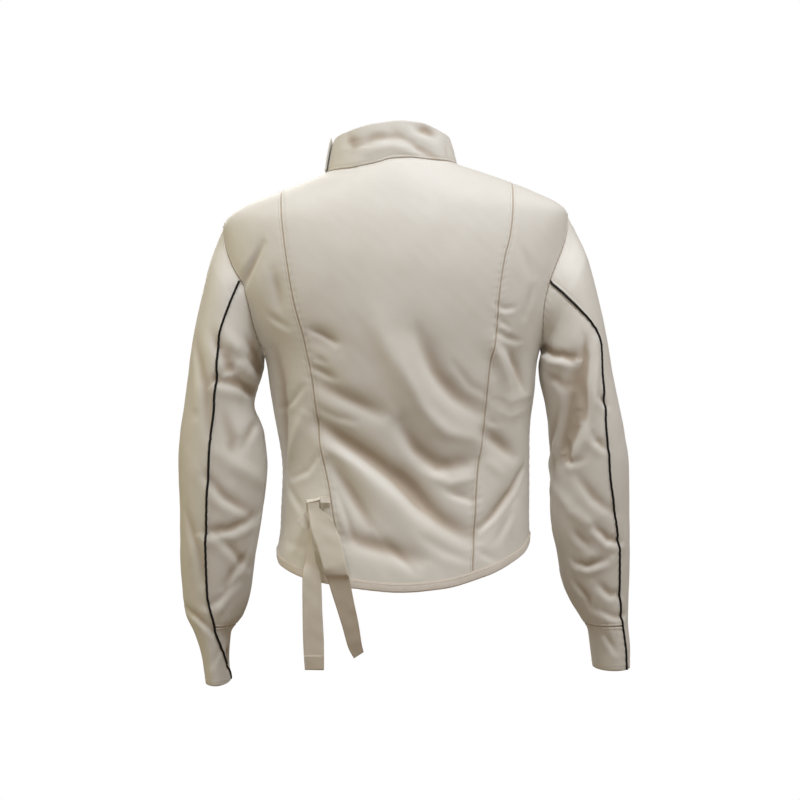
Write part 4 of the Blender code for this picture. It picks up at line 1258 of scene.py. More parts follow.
class Effect:
    """A shader node group, built once and placed in several materials."""

    name = "effect"
    inputs: tuple[tuple[str, str, object], ...] = ()
    outputs: tuple[tuple[str, str], ...] = ()

    def __init__(self) -> None:
        """Builds the group."""
        self.tree = bpy.data.node_groups.new(self.name, "ShaderNodeTree")
        for name, kind, value in self.inputs:
            socket = self.tree.interface.new_socket(name, in_out="INPUT", socket_type=kind)
            if value is not None:
                socket.default_value = value
        for name, kind in self.outputs:
            self.tree.interface.new_socket(name, in_out="OUTPUT", socket_type=kind)
        graph = Graph(self.tree)
        source = graph.add("NodeGroupInput")
        self.fill(graph, source, graph.add("NodeGroupOutput"))

    def fill(self, graph: Graph, source: Node, result: Node) -> None:
        """Fills the group between its input and its output node."""
        raise NotImplementedError

    def place(self, graph: Graph, **values) -> Node:
        """The group in a material, with its own values."""
        return graph.add("ShaderNodeGroup", values, node_tree=self.tree)


class Weave(Effect):
    """Threads that cross: ribs along the cloth, crossed by finer ones."""

    name = "crossed_threads"
    inputs = (
        ("Cloth", "NodeSocketVector", None), ("Ribs", "NodeSocketFloat", 900.0),
        ("Slant", "NodeSocketFloat", 0.4), ("Cross", "NodeSocketFloat", 0.4),
    )
    outputs = (("Height", "NodeSocketFloat"), ("Shade", "NodeSocketFloat"))

    def fill(self, graph: Graph, source: Node, result: Node) -> None:
        """Sines across and along the cloth, slightly uneven."""
        split = graph.add("ShaderNodeSeparateXYZ", {0: source.outputs["Cloth"]}).outputs
        uneven = graph.noise(source.outputs["Cloth"], 220.0, 1.0)
        turn = graph.math("MULTIPLY", source.outputs["Ribs"], 2 * math.pi)
        slanted = graph.math("MULTIPLY_ADD", split[1], source.outputs["Slant"], split[0])
        rib = graph.math("SINE", graph.math(
            "MULTIPLY_ADD", slanted, turn, graph.math("MULTIPLY", uneven, 2.4)))
        cross = graph.math("SINE", graph.math(
            "MULTIPLY_ADD", split[1], graph.math("MULTIPLY", turn, 1.35),
            graph.math("MULTIPLY", uneven, 2.0)))
        both = graph.math("MULTIPLY_ADD", cross, source.outputs["Cross"], rib)
        shade = graph.math("MULTIPLY_ADD", uneven, 0.5, graph.math("MULTIPLY", both, 0.12))
        graph.feed(result, {"Height": graph.math("MULTIPLY_ADD", both, 0.35, 0.5), "Shade": shade})


class Handling(Effect):
    """Marks of use: a soft uneven dulling and a finer grain over it."""

    name = "marks_of_use"
    inputs = (
        ("Place", "NodeSocketVector", None), ("Spread", "NodeSocketFloat", 9.0),
        ("Grain", "NodeSocketFloat", 140.0),
    )
    outputs = (("Soil", "NodeSocketFloat"), ("Grain", "NodeSocketFloat"))

    def fill(self, graph: Graph, source: Node, result: Node) -> None:
        """Two sizes of noise, the wide one cut off softly."""
        wide = graph.add("ShaderNodeTexNoise", {
            "Vector": source.outputs["Place"], "Scale": source.outputs["Spread"], "Detail": 4.0,
            "Roughness": 0.6, "Distortion": 0.4,
        }).outputs[0]
        fine = graph.noise(source.outputs["Place"], source.outputs["Grain"])
        graph.feed(result, {"Soil": graph.ramp(wide, 0.42, 0.72), "Grain": fine})


@dataclass(frozen=True)
class Effects:
    """The node groups that the finishes share."""

    weave: Weave = field(default_factory=Weave)
    handling: Handling = field(default_factory=Handling)


@dataclass(frozen=True)
class ClothFinish:
    """Satin stretch cloth: a fine slanted rib, a soft sheen and darker, warmer painted shade in its
    folds.
    """

    name: str
    face: Colour
    # fold: colour of the painted shade deep in the folds
    fold: Colour
    soiled: Colour
    # seam: colour of the painted shade in the seams' grooves
    seam: Colour = (0.30, 0.255, 0.20)
    mapped: bool = True
    ribs: float = 620.0
    slant: float = 0.45
    cross: float = 0.35
    relief: float = 0.25
    depth: float = 0.00012
    roughness: float = 0.5
    sheen: float = 0.25
    soil: float = 0.25

    def material(self, effects: Effects) -> Material:
        """Builds the material."""
        material, graph, shader = principled(self.name)
        place = graph.add("ShaderNodeTexCoord").outputs["Object"]
        cloth = graph.add("ShaderNodeUVMap", uv_map="cloth").outputs[0] if self.mapped else place
        crease = graph.add("ShaderNodeAttribute", attribute_name="crease").outputs["Fac"]
        weave = effects.weave.place(graph, Cloth=cloth, Ribs=self.ribs, Slant=self.slant,
                                    Cross=self.cross).outputs
        use = effects.handling.place(graph, Place=place).outputs
        # painted shade: the colour darkens and warms towards the fold colour in folds, and towards
        # the seam colour in seam grooves
        folded = graph.mix(graph.ramp(crease, 0.05, 1.0), (*self.face, 1), (*self.fold, 1))
        folded = graph.mix(graph.ramp(crease, 1.0, 2.0), folded, (*self.seam, 1))
        soiled = graph.mix(graph.math("MULTIPLY", use["Soil"], self.soil), folded,
                           (*self.soiled, 1))
        shaded = graph.mix(graph.math("MULTIPLY", weave["Shade"], 0.10), soiled, (*self.fold, 1))
        height = graph.math("MULTIPLY_ADD", use["Grain"], 0.5, weave["Height"])
        graph.feed(shader, {
            "Base Color": shaded,
            "Roughness": graph.math("MULTIPLY_ADD", use["Grain"], 0.16, self.roughness - 0.08),
            "Normal": graph.bump(height, self.relief, self.depth),
            "Sheen Weight": self.sheen, "Sheen Roughness": 0.45, "Specular IOR Level": 0.35,
        })
        return material


@dataclass(frozen=True)
class MetalFinish:
    """Cast zip metal, satin, with scuffs that are brighter and smoother."""

    name: str
    face: Colour
    worn: Colour
    roughness: float = 0.36

    def material(self, effects: Effects) -> Material:
        """Builds the material."""
        material, graph, shader = principled(self.name)
        place = graph.add("ShaderNodeTexCoord").outputs["Object"]
        use = effects.handling.place(graph, Place=place, Spread=160.0, Grain=900.0).outputs
        graph.feed(shader, {
            "Base Color": graph.mix(use["Soil"], (*self.face, 1), (*self.worn, 1)),
            "Roughness": graph.math("MULTIPLY_ADD", use["Soil"], -0.12, self.roughness),
            "Normal": graph.bump(use["Grain"], 0.2, 0.00006), "Metallic": 1.0,
        })
        return material


@dataclass
class Finishes:
    """Every material of the jacket."""

    effects: Effects
    cloth: Material = field(init=False)
    tape: Material = field(init=False)
    tie: Material = field(init=False)
    thread: Material = field(init=False)
    piping: Material = field(init=False)
    teeth: Material = field(init=False)
    zip_tape: Material = field(init=False)
    metal: Material = field(init=False)

    def __post_init__(self) -> None:
        """Builds the materials."""
        looks = {
            # each finish: face colour, colour of the painted shade in its folds, soiled colour
            "cloth": ClothFinish(
                "cream_satin_stretch", (0.80, 0.79, 0.755), (0.50, 0.425, 0.345),
                (0.73, 0.70, 0.63)),
            "tape": ClothFinish(
                "hem_grosgrain", (0.88, 0.84, 0.79), (0.62, 0.55, 0.47), (0.68, 0.63, 0.56),
                ribs=700.0, slant=0.0, cross=0.15, relief=0.5, depth=0.0002, roughness=0.72,
                sheen=0.15),
            "tie": ClothFinish(
                "tie_tape", (0.74, 0.70, 0.62), (0.56, 0.49, 0.40), (0.66, 0.61, 0.52),
                ribs=560.0, slant=0.8, cross=0.6, relief=0.45, depth=0.0002, roughness=0.66,
                sheen=0.2),
            "thread": ClothFinish(
                "sewing_thread", (0.72, 0.69, 0.61), (0.62, 0.57, 0.48), (0.66, 0.62, 0.54),
                ribs=1800.0, slant=0.5, cross=0.0, relief=0.3, roughness=0.6),
            "piping": ClothFinish(
                "black_braid", (0.005, 0.005, 0.006), (0.004, 0.004, 0.004),
                (0.014, 0.014, 0.015), ribs=1100.0, slant=0.9, cross=0.7, relief=0.6,
                depth=0.00025, roughness=0.62, sheen=0.0),
            "teeth": ClothFinish(
                "white_zip_plastic", (0.78, 0.775, 0.75), (0.70, 0.68, 0.63), (0.74, 0.72, 0.67),
                ribs=10.0, slant=0.0, cross=0.0, relief=0.05, roughness=0.34, sheen=0.0),
            "zip_tape": ClothFinish(
                "zip_twill", (0.74, 0.735, 0.70), (0.62, 0.60, 0.54), (0.68, 0.66, 0.61),
                mapped=False, ribs=900.0, slant=1.0, cross=0.2, relief=0.4, depth=0.00015,
                roughness=0.7, sheen=0.1),
            "metal": MetalFinish("satin_zip_metal", (0.55, 0.55, 0.54), (0.78, 0.78, 0.76)),
        }
        for name, look in looks.items():
            setattr(self, name, look.material(self.effects))


@dataclass
class SewnForm:
    """The body's form with every fold in it, as the panels, sleeves and collar share it."""

    form: TrunkForm
    swells: tuple[Swell, ...] = ((0.07, 0.35, 3), (0.022, 0.14, 5))
    ease: float = 0.9
    full_broad: float = 7.0
    full_fine: float = 3.0

    def depths(self, points: Array) -> tuple[Array, Array]:
        """Moves the folds make, and the shade they give.

        Args:
            points: Points of the plain form.

        Returns:
            Metres outwards for each point, and its shade from 0 to 1.
        """
        form, out = self.form, self.form.outward(points)
        broad = self.ease * form.folds(points, out, BACK_FOLDS, FRONT_FOLDS, form.SOLID_STEPS)
        fine = form.folds(points, out, BACK_CREASES + SIDE_CREASES, FRONT_CREASES,
                          form.CREASE_STEPS)
        shade = hollow(broad, self.full_broad) * 0.7 + hollow(fine, self.full_fine) * 0.5
        return broad + fine + uneven(points, *self.swells), np.clip(shade, 0, 1)

    def folded(self, points: Array) -> Array:
        """Points of the plain form with the folds in it."""
        return points + self.form.outward(points) * self.depths(points)[0][..., None]


# Creases are laid on points that face the viewer at least this much, and at least this far apart
FACING = 0.05
LEAST_APART = 1e-4
CAST_STEPS = 4


def cast(points: Array, out: Array, face: Face, sign: int = 1):
    """A function that lays paths of (distance, height) pairs on the seen side of a grid.

    Args:
        points: A fine grid of points.
        out: Their outward directions.
        face: The side that the paths are seen from.
        sign: -1 where the distances are counted to the right.

    Returns:
        A function from a path in metres to points in space.
    """
    shown = points[out[..., 1] * face.value > FACING]

    def seat(path: Array) -> Array:
        """The path laid on the grid's nearest points."""
        fine = dense(path, CAST_STEPS) * (sign, 1)
        away = ((shown[None, :, [0, 2]] - fine[:, None]) ** 2).sum(axis=-1)
        laid = shown[away.argmin(axis=1)]
        apart = np.linalg.norm(np.diff(laid, axis=0), axis=1) > LEAST_APART
        return laid[np.concatenate([[True], apart])]

    return seat


@dataclass
class Panels:
    """The five panels of the body, cut along its seams."""

    sewn: SewnForm
    side_rows: int = 12 * DENSE
    arm_rows: int = 10 * DENSE
    made: dict[str, Sheet] = field(default_factory=dict)

    def __post_init__(self) -> None:
        """Draws the lines that the panels share."""
        half = np.array([ZIP_OPENING / 2 / MM, 0])
        self.form = self.sewn.form
        self.left_seam, self.left_foot, _ = self.seam(LEFT_BACK_SEAM, Face.BEHIND, 0.0)
        self.right_seam, self.right_foot, _ = self.seam(RIGHT_BACK_SEAM, Face.BEHIND, 180.0)
        self.zip_left, self.foot_left, self.neck_left = self.seam(ZIP_LINE + half, Face.AHEAD)
        self.zip_main, foot_main, neck_main = self.seam(ZIP_LINE - half, Face.AHEAD)
        self.foot_main, self.neck_main = foot_main + 360, neck_main + 360

    def seam(
        self, path: Array, face: Face, top: float | None = None,
    ) -> tuple[Array, float, float]:
        """A seam or zip edge from the hem tape up.

        Args:
            path: Pairs of distance and height in millimetres, from the top down.
            face: The face of the body that it lies on.
            top: Angle of its upper end, or None where it ends on the neck seam.

        Returns:
            Its points, and the angles of its two ends.
        """
        route = path[::-1] * MM
        length = lengths_along(route, 0)
        steps = smooth(np.linspace(0, length[-1], self.form.FINE_STEPS + 1), length, route)
        angles, heights = self.form.angle_at(steps[:, 0], steps[:, 1], face), steps[:, 1]
        lift = self.form.hem_height(angles[0]) + HEM_TAPE_HEIGHT - heights[0]
        heights = heights + lift * np.linspace(1, 0, len(heights)) ** 3
        if top is None:
            heights[-1] = self.form.neck_height(angles[-1])
        else:
            angles[-1] = top
        line = even(self.form.plain(angles, heights), self.side_rows + self.arm_rows)
        return self.form.settled(line), float(angles[0]), float(angles[-1])

    def side_edge(self, side: Side, face: Face) -> Array:
        """Side seam and armhole as one edge of a panel."""
        middle = 0.0 if side is Side.LEFT else 180.0
        table = LEFT_ARMHOLE if side is Side.LEFT else RIGHT_ARMHOLE
        under, tip = column(table, 180.0, 2) * MM, column(table, 0.0, 2) * MM
        foot = self.form.hem_height(middle) + HEM_TAPE_HEIGHT
        below = self.form.plain(middle, np.linspace(foot, under, self.side_rows + 1))
        arm = np.linspace(180, 0 if face is Face.BEHIND else 360, self.arm_rows + 1)
        above = self.form.armhole(table, side.value, np.minimum(arm, ALMOST_ROUND))
        above[0], above[-1] = self.form.plain(middle, under), self.form.plain(middle, tip)
        return joined(below, above)

    def patch(
        self, bottom: Array, top: Array, first: Array, last: Array,
    ) -> Array:
        """Points of the plain form inside four edges.

        Args:
            bottom: The edge above the hem.
            top: The upper edge.
            first: The edge of the first column, from the hem up.
            last: The edge of the last column, from the hem up.

        Returns:
            Rows from the hem up by columns by 3.
        """
        v = np.linspace(0, 1, len(first))[:, None, None]
        u = np.linspace(0, 1, len(bottom))[None, :, None]
        across = (1 - u) * first[:, None] + u * last[:, None]
        upwards = (1 - v) * bottom[None] + v * top[None]
        corners = ((1 - u) * (1 - v) * first[0] + u * (1 - v) * last[0]
                   + (1 - u) * v * first[-1] + u * v * last[-1])
        return self.form.settled(across + upwards - corners)

    def spread(self, line, ends: dict[str, tuple[float, float, int]]) -> dict[str, Array]:
        """Angles along a line round the body for each panel, from its two ends and its cells."""
        return {
            name: self.form.even_angles(line, first, last, count * DENSE)
            for name, (first, last, count) in ends.items()
        }

    def hem_angles(self) -> dict[str, Array]:
        """Angles along the foot of each panel."""
        return self.spread(self.form.above_hem, {
            "front_left": (self.foot_left, 0.0, 8), "back_side_left": (0.0, self.left_foot, 6),
            "back_centre": (self.left_foot, self.right_foot, 13),
            "back_side_right": (self.right_foot, 180.0, 6),
            "front_main": (180.0, self.foot_main, 12),
        })

    def neck_angles(self) -> dict[str, Array]:
        """Angles along the neck seam of each panel that reaches it."""
        return self.spread(self.form.neck_line, {
            "front_left": (self.neck_left, 0.0, 2), "back_centre": (0.0, 180.0, 7),
            "front_main": (180.0, self.neck_main, 6),
        })

    def grids(self) -> dict[str, Array]:
        """The plain grid of each panel."""
        form, hem, neck = self.form, self.hem_angles(), self.neck_angles()
        foot = {name: form.above_hem(angles) for name, angles in hem.items()}
        collar = {name: form.neck_line(angles) for name, angles in neck.items()}
        tip_left = column(LEFT_ARMHOLE, 0.0, 2) * MM
        tip_right = column(RIGHT_ARMHOLE, 0.0, 2) * MM
        left, right = form.neck_height(0.0), form.neck_height(180.0)
        left_top, right_top = self.left_seam[-1, 2], self.right_seam[-1, 2]
        side = {(side, face): self.side_edge(side, face) for side in Side for face in Face}
        over = form.shoulder_line
        return {
            "back_centre": self.patch(foot["back_centre"], joined(
                over(0.0, left_top, left, 3 * DENSE), collar["back_centre"],
                over(180.0, right, right_top, 3 * DENSE)), self.left_seam, self.right_seam),
            "back_side_left": self.patch(
                foot["back_side_left"], over(0.0, tip_left, left_top, 6 * DENSE),
                side[Side.LEFT, Face.BEHIND], self.left_seam),
            "back_side_right": self.patch(
                foot["back_side_right"], over(180.0, right_top, tip_right, 6 * DENSE),
                self.right_seam, side[Side.RIGHT, Face.BEHIND]),
            "front_main": self.patch(
                foot["front_main"],
                joined(over(180.0, tip_right, right, 6 * DENSE), collar["front_main"]),
                side[Side.RIGHT, Face.AHEAD], self.zip_main),
            "front_left": self.patch(
                foot["front_left"],
                joined(collar["front_left"], over(0.0, left, tip_left, 6 * DENSE)),
                self.zip_left, side[Side.LEFT, Face.AHEAD]),
        }

    def build(self, finishes: Finishes) -> None:
        """Makes the panels in place of their solids."""
        seam, edge = SeamLook(), SeamLook(groove=0.3, groove_width=1.0, stitch=6.0, shade=0.3)
        sewn = {Edge.FIRST: seam, Edge.LAST: seam, Edge.HIGH: seam}
        at_zip = {"front_main": {**sewn, Edge.LAST: edge}, "front_left": {**sewn, Edge.FIRST: edge}}
        for name, grid in self.grids().items():
            looks = at_zip.get(name, sewn)
            points = self.form.settled(resampled(grid, tuple(looks)))
            out = self.form.outward(points)
            depth, shade = self.sewn.depths(points)
            moved = points + out * (depth + seam_depth(points, looks))[..., None]
            sheet = Sheet(f"{name}_cloth", moved, grid_normals(moved, out),
                          shade + seam_shade(points, looks))
            self.made[name] = sheet
            obj = sheet.shell(finishes.cloth, Slot.CLOTH)
            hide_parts(name)
            declare(obj, sheet)


@dataclass
class Sleeve:
    """A two-piece sleeve with its shaped under cuff and the piping along its back seam."""

    TURNS = 720
    CAST_CELLS = 240
    SEAM_SWEEP = (15, 150, 136)

    side: Side
    sewn: SewnForm
    columns: int = 10 * DENSE
    long_rows: int = 18 * DENSE
    cuff_rows: int = 3 * DENSE
    cuff_seam: float = 0.875
    seams_at_root: tuple[float, float] = (72.0, -108.0)
    drawn_until: float = 0.20
    drawn_blend: float = 0.10
    root_blend: float = 0.012
    clear_of_root: float = 0.02
    stiff_root: float = 0.03
    piping_start: int = 4
    piping_radius: float = 1.5 * MM
    piping_lift: float = 1.75 * MM
    depth: float = 1.45
    shade: float = 0.9
    full_shade: float = 3.4
    swells: tuple[Swell, ...] = ((0.06, 0.4, 11), (0.02, 0.15, 12))
    look: SeamLook = SeamLook()
    made: dict[str, Sheet] = field(default_factory=dict)

    def __post_init__(self) -> None:
        """Reads the armhole and casts the creases on the sleeve."""
        left = self.side is Side.LEFT
        self.table = LEFT_SLEEVE if left else RIGHT_SLEEVE
        self.knots = np.concatenate([[0], self.table[:, 0]])
        hole = LEFT_ARMHOLE if left else RIGHT_ARMHOLE
        form, middle = self.sewn.form, 0.0 if left else 180.0
        self.turns = np.linspace(0, 360, self.TURNS + 1)
        plain = form.armhole(hole, self.side.value, np.minimum(self.turns, ALMOST_ROUND))
        plain[[0, -1]] = form.plain(middle, column(hole, 0.0, 2) * MM)
        plain[self.TURNS // 2] = form.plain(middle, column(hole, 180.0, 2) * MM)
        out = form.outward(plain)
        depth = self.sewn.depths(plain)[0][:, None]
        self.root = plain + out * depth
        self.sunk = plain + out * (depth - self.look.groove * MM)
        places, angles = np.meshgrid(*(
            np.linspace(0, end, self.CAST_CELLS + 1) for end in (1, 360)), indexing="ij")
        points = self.surface(angles, places)
        out = grid_normals(points, points - points.mean(axis=1, keepdims=True))
        behind = LEFT_SLEEVE_BACK if left else RIGHT_SLEEVE_BACK
        self.creases = tuple(
            (folds, cast(points, out, face, self.side.value))
            for folds, face in ((behind, Face.BEHIND), (SLEEVE_FRONT, Face.AHEAD))
        )

    def at_root(self, line: Array, angles: Array) -> Array:
        """Points of a line round the armhole at these angles."""
        return read(np.asarray(angles) % 360, self.turns, line)

    def surface(self, angles: Array, places: Array) -> Array:
        """Points of the plain sleeve.

        Args:
            angles: Angles round it in degrees.
            places: Places along it, 0 at the armhole and 1 at the cuff's end.

        Returns:
            One point for each pair.
        """
        angle, place = angles.ravel(), places.ravel()
        across, along = np.cos(np.radians(angle)), np.sin(np.radians(angle))
        curves = [self.at_root(self.root, angle)]
        for _, outwards, back, height, half_width, half_depth, rise, _, _ in self.table:
            curves.append(np.stack([
                self.side.value * (outwards + half_width * across), back + half_depth * along,
                height + rise * across,
            ], axis=-1) * MM)
        return smooth_each(place, self.knots, np.stack(curves)).reshape((*angles.shape, 3))

    def seam_angles(self, places: Array) -> Array:
        """Angles of the back and the front seam at these places."""
        seams = np.concatenate([[self.seams_at_root], self.table[:, 7:9]])
        back, front = smooth(places, self.knots, seams).T
        share = eased(np.clip((places - self.drawn_until) / self.drawn_blend, 0, 1))
        start = np.clip(places / self.root_blend, 0, 1)
        drawn = self.seams_at_root[0] * (1 - start) + self.drawn_seam(places) * start
        return drawn * (1 - share) + back * share, front

    def drawn_seam(self, places: Array) -> Array:
        """Angles at which the sleeve's rings cross the drawn line of the back seam."""
        path = LEFT_SLEEVE_SEAM if self.side is Side.LEFT else RIGHT_SLEEVE_SEAM
        sweep = np.linspace(*self.SEAM_SWEEP)
        rings = self.surface(*np.broadcast_arrays(sweep[None], places[:, None])) / MM
        line = np.interp(-rings[..., 2], -path[:, 1], path[:, 0])
        gap = self.side.value * rings[..., 0] - line
        return np.array([np.interp(0.0, -row, sweep) for row in gap])

    def sheet(self, name: str, places: Array, under: bool, sewn: tuple[Edge, ...],
              rolled: tuple[Edge, ...]) -> Sheet:
        """One cut piece of the sleeve.

        Args:
            name: The piece's name.
            places: Places of its rows.
            under: True on the under side.
            sewn: The edges that are sewn.
            rolled: The edges that end free.

        Returns:
            The piece with its creases.
        """
        back, front = self.seam_angles(places)
        first, last = (back, front + 360) if under else (front, back)
        share = np.linspace(0, 1, self.columns + 1)[None]
        angles = first[:, None] * (1 - share) + last[:, None] * share
        grid = np.stack([angles, np.broadcast_to(places[:, None], angles.shape)], axis=-1)
        grid = resampled(grid, sewn)
        angles, spots = grid[..., 0], grid[..., 1]
        points = self.surface(angles, spots)
        clear = np.maximum(spots, self.clear_of_root)
        rough = self.surface(angles, clear) - self.surface(angles + 180, clear)
        out = grid_normals(points, rough)
        fine = self.depth * sum(relief(points, out, folds, seat) for folds, seat in self.creases)
        fade = np.clip(spots / self.stiff_root, 0, 1)
        looks = {edge: self.look for edge in sewn}
        depth = (uneven(points, *self.swells) + fine) * fade + seam_depth(points, looks)
        moved = points + out * depth[..., None]
        shade = hollow(fine, self.full_shade) * self.shade * fade + seam_shade(points, looks)
        if Edge.LOW in sewn and places[0] == 0:
            moved[0] = self.at_root(self.sunk, angles[0])
        return Sheet(name, moved, grid_normals(moved, rough), shade, rolled=rolled)

    def build(self, finishes: Finishes) -> None:
        """Makes the sleeve in place of its solids."""
        word = self.side.word
        long = np.linspace(0, self.cuff_seam, self.long_rows + 1)
        cuff = np.linspace(self.cuff_seam, 1, self.cuff_rows + 1)
        sides = (Edge.FIRST, Edge.LAST)
        cuts = (
            ("over_sleeve", joined(long, cuff), False, (*sides, Edge.LOW), (Edge.HIGH,)),
            ("under_sleeve", long, True, (*sides, Edge.LOW, Edge.HIGH), ()),
            ("under_cuff", cuff, True, (*sides, Edge.LOW), (Edge.HIGH,)),
        )
        for name, places, under, sewn, rolled in cuts:
            sheet = self.sheet(f"{name}_{word}_cloth", places, under, sewn, rolled)
            self.made[name] = sheet
            obj = sheet.shell(finishes.cloth, Slot.CLOTH)
            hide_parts(f"{name}_{word}")
            declare(obj, sheet)
        self.pipe(finishes)

    def pipe(self, finishes: Finishes) -> None:
        """The piping that runs down the back seam."""
        over = self.made["over_sleeve"]
        route, out = over.points[self.piping_start:, -1], over.out[self.piping_start:, -1]
        obj = tube(f"piping_{self.side.word}_braid", route + out * self.piping_lift,
                   round_section(self.piping_radius, 12), out, finishes.piping)
        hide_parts(f"piping_{self.side.word}")


@dataclass
class Collar:
    """The stand collar, lapped over its own start at the zip."""

    panels: Panels
    rows: int = 44
    lean: float = 8.0 * MM
    bow: float = -1.0 * MM
    middle: tuple[float, float] = (12.0 * MM, 0.0)
    lap_lift: float = 2.9 * MM
    lap_flare: float = 1.6 * MM
    lap_rise: float = 0.3
    lap_end: float = 6.0
    stiff_foot: float = 0.12
    full_shade: float = 2.2
    swells: tuple[Swell, ...] = ((0.05, 0.35, 21), (0.018, 0.12, 22))
    look: SeamLook = SeamLook(groove=0.5, stitch=4.4, swell=0.35, pucker=0.2)
    made: Sheet | None = None

    def surface(self, angles: Array, places: Array) -> Array:
        """Points of the plain collar from its neck seam, at place 0, to its edge, at 1."""
        form = self.panels.form
        line = form.neck_line(angles[0])
        root = np.broadcast_to(self.panels.sewn.folded(line)[None], (*angles.shape, 3))
        high = column(COLLAR_TOP, within_tables(angles)) * MM
        lean = self.lean * places + self.bow * np.sin(np.pi * places)
        flat = root[..., :2] - np.array(self.middle)
        round_it = root[..., :2] - unit(flat) * lean[..., None]
        height = root[..., 2] + (high - root[..., 2]) * places
        return np.concatenate([round_it, height[..., None]], axis=-1)

    def build(self, finishes: Finishes) -> None:
        """Makes the collar in place of its solid."""
        neck = self.panels.neck_angles()
        start = 360 + neck["front_left"]
        sewn = joined(neck["front_left"], neck["back_centre"], neck["front_main"])
        bridge = np.linspace(sewn[-1], start[0], DENSE + 1)
        angles = joined(sewn, bridge, start, np.linspace(start[-1], 360 + self.lap_end, 5))
        turn = np.clip((angles - sewn[-1]) / (start[0] - sewn[-1]), 0, 1)
        end = np.clip((angles - start[-1]) / self.lap_end, 0, 1)
        lift = self.lap_lift * eased(turn) + self.lap_flare * end
        grid = np.stack(np.broadcast_arrays(
            angles[None], np.linspace(0, 1, self.rows + 1)[:, None]), axis=-1)
        grid = resampled(grid, (Edge.LOW,))
        points = self.surface(grid[..., 0], grid[..., 1])
        flat = (points - np.array([*self.middle, 0])) * (1, 1, 0)
        out = grid_normals(points, flat)
        fine = relief(points, out, COLLAR_CREASES, cast(points, out, Face.BEHIND))
        free = np.clip(grid[..., 1] / self.stiff_foot, 0, 1)
        looks = {Edge.LOW: self.look}
        depth = (fine + uneven(points, *self.swells)) * free + seam_depth(points, looks)
        moved = points + out * (depth + lift)[..., None]
        moved[..., 2] += lift * self.lap_rise
        shade = hollow(fine, self.full_shade) + seam_shade(points, looks)
        self.made = Sheet("collar_cloth", moved, grid_normals(moved, flat), shade,
                          rolled=(Edge.HIGH, Edge.LAST))
        obj = self.made.shell(finishes.cloth, Slot.CLOTH)
        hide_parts("collar")
        declare(obj, self.made)


@dataclass
class HemTape:
    """The folded tape round the hem, which the panels' edges lie in."""

    panels: Panels
    rows: int = 12
    height: float = 10.8 * MM
    proud: float = 0.9 * MM
    thickness: float = 3.4 * MM
    fullness: float = 0.35 * MM
    swells: tuple[Swell, ...] = ((0.03, 0.25, 31), (0.011, 0.1, 32))
    edge_shade: float = 0.9
    made: Sheet | None = None

    def build(self, finishes: Finishes) -> None:
        """Makes the tape in place of its solid."""
        form, hem = self.panels.form, self.panels.hem_angles()
        angles = joined(*(hem[name] for name in (
            "front_left", "back_side_left", "back_centre", "back_side_right", "front_main")))
        top = form.above_hem(angles)
        out = form.outward(top)
        above = self.panels.sewn.folded(top) + out * self.proud
        above[:, 2] += self.height - HEM_TAPE_HEIGHT
        share = np.linspace(0, 1, self.rows + 1)[:, None, None]
        points = above[None] - np.array([0, 0, self.height]) * (1 - share)
        lift = np.sin(np.pi * share[..., 0]) * self.fullness + uneven(points, *self.swells)
        points = points + out[None] * lift[..., None]
        shade = np.broadcast_to(self.edge_shade * bell(1 - share[..., 0], 0.08), lift.shape)
        self.made = Sheet("hem_tape_folded", points, grid_normals(points, out[None]), shade,
                          thickness=self.thickness, rolled=(Edge.LOW, Edge.HIGH))
        obj = self.made.shell(finishes.tape, Slot.TAPE)
        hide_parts("hem_tape")
        width, length, _ = self.made.cut()


